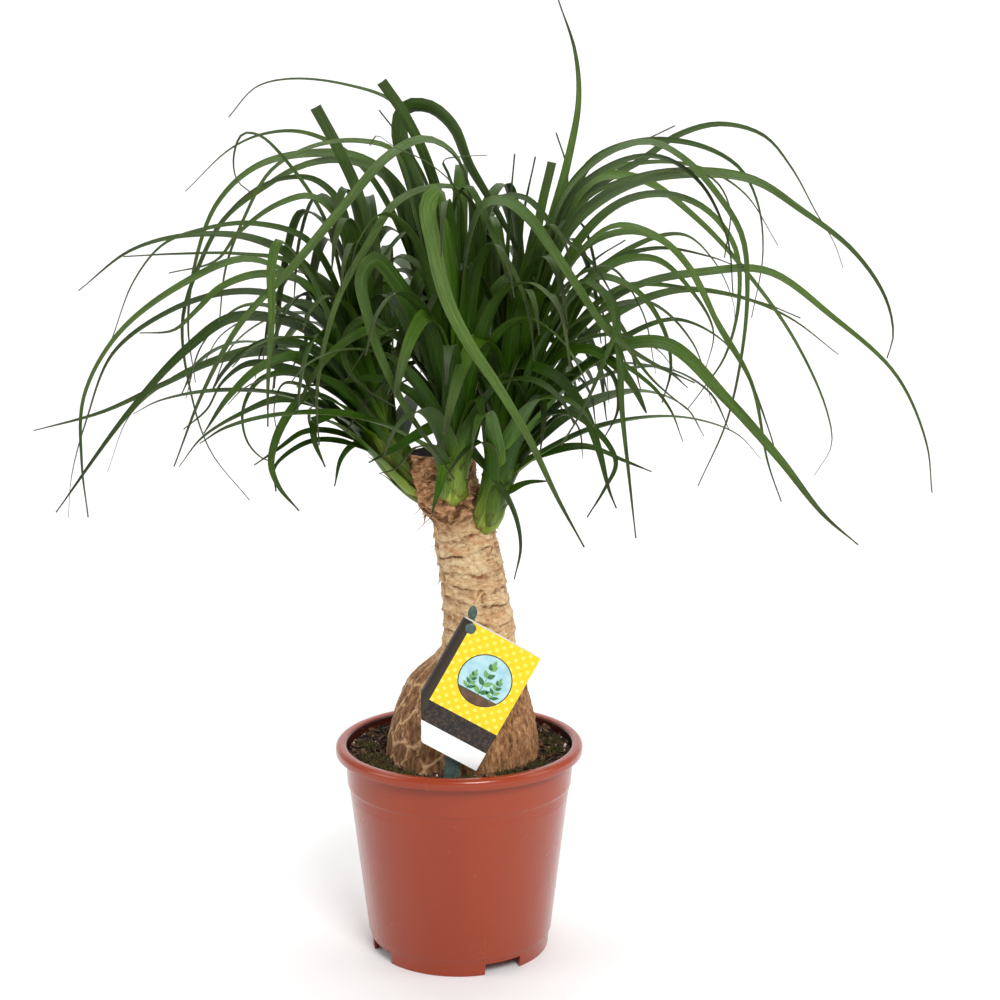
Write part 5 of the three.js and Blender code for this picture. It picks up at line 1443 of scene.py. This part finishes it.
def leaf_material():
    """Leaf green: yellow-green at the root, deep green further out, with fine long veins and dark tips."""
    skin = Surface("leaf_skin", 0.4, Specular_IOR_Level=0.3, Specular_Tint=(0.85, 1.0, 0.6, 1.0))
    across, along, tip = skin.value("across"), skin.value("along"), skin.value("tip")
    tone, green = skin.value("tone"), skin.value("green")
    edge = skin.maths("ABSOLUTE", across)
    reach = skin.scaled(along, 1 / 260)
    colour = skin.ramp(reach, {
        0.0: (176, 192, 66), 0.07: (104, 146, 20), 0.18: (66, 114, 4), 0.45: (68, 106, 18),
        1.0: (92, 122, 56),
    })

    young = skin.scaled(green, -0.8, 0.8)
    near = skin.scaled(reach, -5.5, 1.0, clamp=True)
    blotches = skin.noise(60, 4, (1, 1, 0.4))
    base = skin.ramp(blotches, {0.3: (140, 100, 54), 0.38: (198, 212, 112), 0.75: (116, 160, 46)})
    # Painted light and shade on the curled leaf bases: lighter along the middle, darker towards both edges.
    base = skin.shaded(0.9, base, skin.grey(edge, 1.45, 0.42))
    base = skin.mix(skin.scaled(along, -0.15, 1.0, clamp=True), base, (122, 84, 48))
    colour = skin.mix(skin.scaled(young, near), colour, base)

    colour = skin.shaded(0.9, colour, skin.mix(tone, (140, 156, 136), (255, 252, 240)))
    veins = skin.scaled(skin.maths("SINE", skin.scaled(across, 42)), 0.5, 0.5)
    colour = skin.shaded(0.9, colour, skin.grey(veins, 0.74, 1.05))
    spot = {0: skin.scaled(tone, 40, skin.scaled(across, 2.2)), 1: skin.scaled(along, 0.012)}
    streaks = skin.noise(1.6, 5, roughness=0.7, place=skin.node("CombineXYZ", spot).outputs[0])
    colour = skin.shaded(0.85, colour, skin.ramp(streaks, {0.34: (156, 158, 134), 0.66: (255, 255, 240)}))
    patches = skin.noise(26, 5)
    colour = skin.shaded(0.6, colour, skin.grey(patches, 0.6, 1.3))

    rib = skin.scaled(edge, -12, 1.0, clamp=True)
    colour = skin.mix(skin.scaled(rib, 0.1), colour, (120, 164, 70))
    rim = skin.scaled(edge, 9, -8, clamp=True)
    colour = skin.mix(skin.scaled(rim, 0.3), colour, (84, 72, 46))
    colour = skin.mix(skin.scaled(rim, young), colour, (70, 62, 28))
    colour = skin.mix(skin.scaled(skin.past(tip, 0.78, 3.6), 0.8), colour, (58, 54, 46))
    withered = skin.maths("GREATER_THAN", skin.scaled(tone, 0.02, tip), 1.008)
    colour = skin.mix(withered, colour, (84, 74, 52))
    skin.bump(veins, 0.0002, 0.9)
    skin.bump(streaks, 0.0008, 0.6)
    skin.bump(patches, 0.0006, 0.35)
    return skin.done(colour, skin.scaled(patches, 0.2, 0.27))


def bark_material():
    """Brown plated bark on the caudex, pale ringed bark on the trunk, browner fibres under the shoots."""
    bark = Surface("bark_skin", 0.85, Specular_IOR_Level=0.25)
    height = bark.value("height")
    fine = bark.noise(330, 7, (1, 1, 0.4), 0.75)
    plates = bark.ramp(fine, {0.34: (72, 44, 26), 0.5: (146, 102, 66), 0.66: (196, 154, 108)})
    plates = bark.mix(bark.scaled(bark.value("ridge"), 0.95), plates, (208, 170, 130))
    # Painted shade: the plates turn darker where the bark's relief lies low.
    plates = bark.mix(bark.scaled(height, -0.9, clamp=True), plates, (58, 38, 24))

    fibres = bark.noise(170, 7, (1, 1, 2.6), 0.72)
    rings = bark.ramp(fibres, {0.3: (124, 84, 52), 0.46: (188, 152, 110), 0.66: (222, 198, 158)})
    blotch = bark.past(bark.noise(48, 5, (1, 1, 2.4), 0.62), 0.44, 4)
    light = bark.scaled(bark.maths("ADD", bark.value("pale"), 0.6), blotch)
    rings = bark.mix(bark.scaled(light, 0.42), rings, (226, 208, 170))
    # Painted shade: the rings turn darker where the bark's relief lies low.
    rings = bark.mix(bark.scaled(height, -0.7, clamp=True), rings, (128, 80, 46))
    rusty = bark.past(bark.noise(70, 6, (1, 1, 2.2), 0.66), 0.54, 7)
    rings = bark.mix(bark.scaled(rusty, 0.6), rings, (184, 124, 78))

    husk = bark.noise(170, 6, (1, 1, 2.2), 0.65)
    husks = bark.ramp(husk, {0.3: (96, 58, 34), 0.5: (172, 124, 84), 0.7: (224, 186, 140)})
    wood = bark.ramp(bark.noise(300, 4), {0.35: (34, 26, 24), 0.7: (84, 62, 52)})
    colour = bark.mix(bark.value("neck"), plates, rings)
    colour = bark.mix(bark.value("crown"), colour, husks)
    # Dark cracks of the bark, and painted shade in the gaps of the crown.
    colour = bark.mix(bark.scaled(bark.value("dark"), 0.85), colour, (74, 46, 28))
    colour = bark.mix(bark.value("sawn"), colour, wood)
    bark.bump(fine, 0.001, 0.8)
    return bark.done(colour, bark.scaled(fine, 0.2, 0.7))


def shred_material():
    shred = Surface("shred_fibre", 0.8, Specular_IOR_Level=0.25)
    stops = {0.0: (122, 76, 44), 0.5: (186, 142, 96), 1.0: (226, 196, 152)}
    fine = shred.noise(300, 3)
    colour = shred.shaded(0.4, shred.ramp(shred.value("tone"), stops), shred.grey(fine, 0.6, 1.1))
    shred.bump(fine, 0.0002, 0.5)
    return shred.done(colour)


def earth_material(name, dark, light):
    """Crumbly earth or peat between two colours."""
    earth = Surface(name, 0.95, Specular_IOR_Level=0.2)
    grain = earth.noise(420, 6, roughness=0.75)
    colour = earth.ramp(grain, {0.36: dark, 0.7: light})
    colour = earth.shaded(0.5, colour, earth.grey(earth.noise(30, 3), 0.5, 1.4))
    earth.bump(grain, 0.0012, 0.9)
    return earth.done(colour)


def toned_material(name, dark, light, roughness):
    """One thing in many small pieces, each of its own tone."""
    skin = Surface(name, roughness, Specular_IOR_Level=0.3)
    grain = skin.noise(200, 4, roughness=0.7)
    colour = skin.ramp(skin.value("tone"), {0.0: dark, 1.0: light})
    skin.bump(grain, 0.0004, 0.7)
    return skin.done(skin.shaded(0.5, colour, skin.grey(grain, 0.55, 1.2)))


def pot_material():
    """Glossy moulded plastic: nearly even in colour, with faint flow marks, dust, scuffs, and painted shade
    with grime inside.
    """
    plastic = Surface("pot_gloss", 0.3, Specular_IOR_Level=0.4, Coat_Weight=0.2, Coat_Roughness=0.04)
    flow = plastic.noise(9, 3, (1, 1, 0.25))
    colour = plastic.ramp(flow, {0.3: (139, 45, 10), 0.7: (148, 53, 16)})
    speck = plastic.noise(900, 2, roughness=0.5)
    colour = plastic.shaded(0.18, colour, plastic.grey(speck, 0.7, 1.2))
    worn = plastic.past(plastic.noise(38, 6, roughness=0.7), 0.55, 4)
    colour = plastic.mix(plastic.scaled(worn, 0.04), colour, (184, 104, 80))

    # Painted shade with grime: the inside wall above the collar is darkened towards deep brown.
    reach = plastic.node("VectorMath", {0: plastic.place((1, 1, 0))}, operation="LENGTH").outputs["Value"]
    level = plastic.node("SeparateXYZ", {0: plastic.place()}).outputs[2]
    wall = plastic.scaled(level, WALL_SLOPE, SHADE_AND_GRIME_RADIUS * MM)
    inside = plastic.scaled(plastic.maths("SUBTRACT", wall, reach), 900, clamp=True)
    high = plastic.maths("GREATER_THAN", level, SHADE_AND_GRIME_BOTTOM * MM)
    dirt_and_shade = plastic.grey(plastic.noise(140, 5), 0.55, 1.2)
    colour = plastic.mix(plastic.scaled(inside, high), colour, plastic.shaded(1.0, dirt_and_shade, (66, 27, 18)))
    plastic.bump(flow, 0.0008, 0.15)
    plastic.bump(speck, 0.00008, 0.35)
    return plastic.done(colour, plastic.scaled(worn, 0.14, 0.23))


def stake_material():
    plastic = Surface("stake_matt", 0.45, Specular_IOR_Level=0.45)
    grain = plastic.noise(500, 3)
    plastic.bump(grain, 0.0001, 0.6)
    return plastic.done(plastic.ramp(grain, {0.3: (54, 71, 67), 0.7: (80, 99, 93)}))


def card_material():
    """Yellow card with pale dots, a plain dark spine, an earthy band straight across and a white foot."""
    card = Surface("card_gloss", 0.3, Specular_IOR_Level=0.4, Coat_Weight=0.08)
    u, v = card.value("u"), card.value("v")
    waves = [card.maths("SINE", card.scaled(place, DOT_RATE)) for place in (u, v)]
    dots = card.maths("GREATER_THAN", card.scaled(*waves), DOT_LEVEL)
    speckle = card.noise(420, 5, roughness=0.8)
    earth = card.ramp(speckle, {0.46: (12, 8, 6), 0.62: (72, 50, 36)})
    colour = card.mix(dots, (240, 196, 6), (250, 224, 92))
    colour = card.mix(card.maths("GREATER_THAN", v, CARD_BAND_TOP), colour, earth)
    colour = card.mix(card.maths("GREATER_THAN", v, CARD_BAND_FOOT), colour, (240, 240, 238))
    colour = card.mix(card.maths("LESS_THAN", u, CARD_SPINE), colour, (44, 36, 28))
    colour = card.mix(card.value("outside"), (228, 226, 216), colour)
    card.bump(speckle, 0.00003, 0.5)
    return card.done(colour)


def print_material(name, colour, other):
    ink = Surface(name, 0.3, Specular_IOR_Level=0.5)
    return ink.done(ink.ramp(ink.noise(160, 3), {0.35: colour, 0.68: other}))


def paper_material():
    """Pale paper that turns white behind the object: painted light, so the sweep there reads as brightly lit.
    """
    paper = Surface("floor_paper", 0.7, Specular_IOR_Level=0.2)
    near = paper.grey(paper.noise(3, 2), 0.8, 0.83)
    behind = paper.node("SeparateXYZ", {0: paper.place()}).outputs["Y"]
    return paper.done(paper.mix(paper.scaled(behind, 1.0, clamp=True), near, 0.97))


# Studio

def sweep(material):
    """A pale sweep of paper that runs up behind the object."""
    profile = [(SWEEP_FRONT, 0.0), (SWEEP_BEND_AT, 0.0)]
    for a in np.radians(np.linspace(6, 90, 15)):
        out, up = SWEEP_BEND_RADIUS * math.sin(a), SWEEP_BEND_RADIUS * (1 - math.cos(a))
        profile.append((SWEEP_BEND_AT + out, up))
    profile.append((SWEEP_BEND_AT + SWEEP_BEND_RADIUS, SWEEP_HEIGHT))
    corners = [(x, y, z) for y, z in profile for x in (-SWEEP_HALF_WIDTH, SWEEP_HALF_WIDTH)]
    mesh = bpy.data.meshes.new("floor")
    mesh.from_pydata(corners, [], grid_faces(len(profile), 2, closed=False))
    mesh.materials.append(material)
    floor = bpy.data.objects.new("floor", mesh)
    bpy.context.scene.collection.objects.link(floor)
    mesh.shade_smooth()


def softbox(name, place, size, power):
    lamp = bpy.data.lights.new(name, "AREA")
    lamp.shape = "RECTANGLE"
    lamp.size, lamp.size_y = size
    lamp.energy = power
    light = bpy.data.objects.new(name, lamp)
    light.location = place
    light.rotation_euler = (Vector(LIGHTS_AIM) - Vector(place)).to_track_quat("-Z", "Y").to_euler()
    bpy.context.scene.collection.objects.link(light)


def studio():
    """The sweep, soft light all round, and the camera."""
    scene = bpy.context.scene
    scene.view_settings.view_transform = "Standard"
    scene.world = bpy.data.worlds.new("studio_air")
    scene.world.use_nodes = True
    air = scene.world.node_tree.nodes["Background"].inputs
    air["Color"].default_value = (1, 1, 1, 1)
    air["Strength"].default_value = AIR_LIGHT
    sweep(paper_material())
    for name, light in SOFTBOXES.items():
        softbox(name, *light)

    lens = bpy.data.cameras.new("camera")
    lens.lens = LENS
    lens.sensor_width = FILM_WIDTH
    camera = bpy.data.objects.new("camera", lens)
    camera.location = Vector(CAMERA_AT) * MM
    camera.rotation_euler = (Vector(LOOK_AT) * MM - camera.location).to_track_quat("-Z", "Y").to_euler()
    scene.collection.objects.link(camera)
    scene.camera = camera


studio()
pot_piece(pot_material())
soil_piece(earth_material("soil_peat", (10, 8, 6), (50, 36, 26)))
soil_bits([
    toned_material("clods", (18, 12, 9), (100, 72, 50), 0.9),
    toned_material("grains", (196, 188, 170), (236, 230, 216), 0.7),
    toned_material("fibres", (60, 38, 24), (140, 104, 68), 0.85),
])
moss_piece(toned_material("moss_green", (24, 25, 11), (92, 86, 42), 0.85))
trunk_piece(bark_material())
bark_shreds(shred_material())
leaf_skin = leaf_material()
for shoot, leaves in leaf_rows().items():
    shoot_piece(shoot, leaves, leaf_skin)
stake_piece(stake_material())
card_piece(card_material())
card_print([print_material(name, *colours) for name, colours in PRINT_COLOURS.items()])
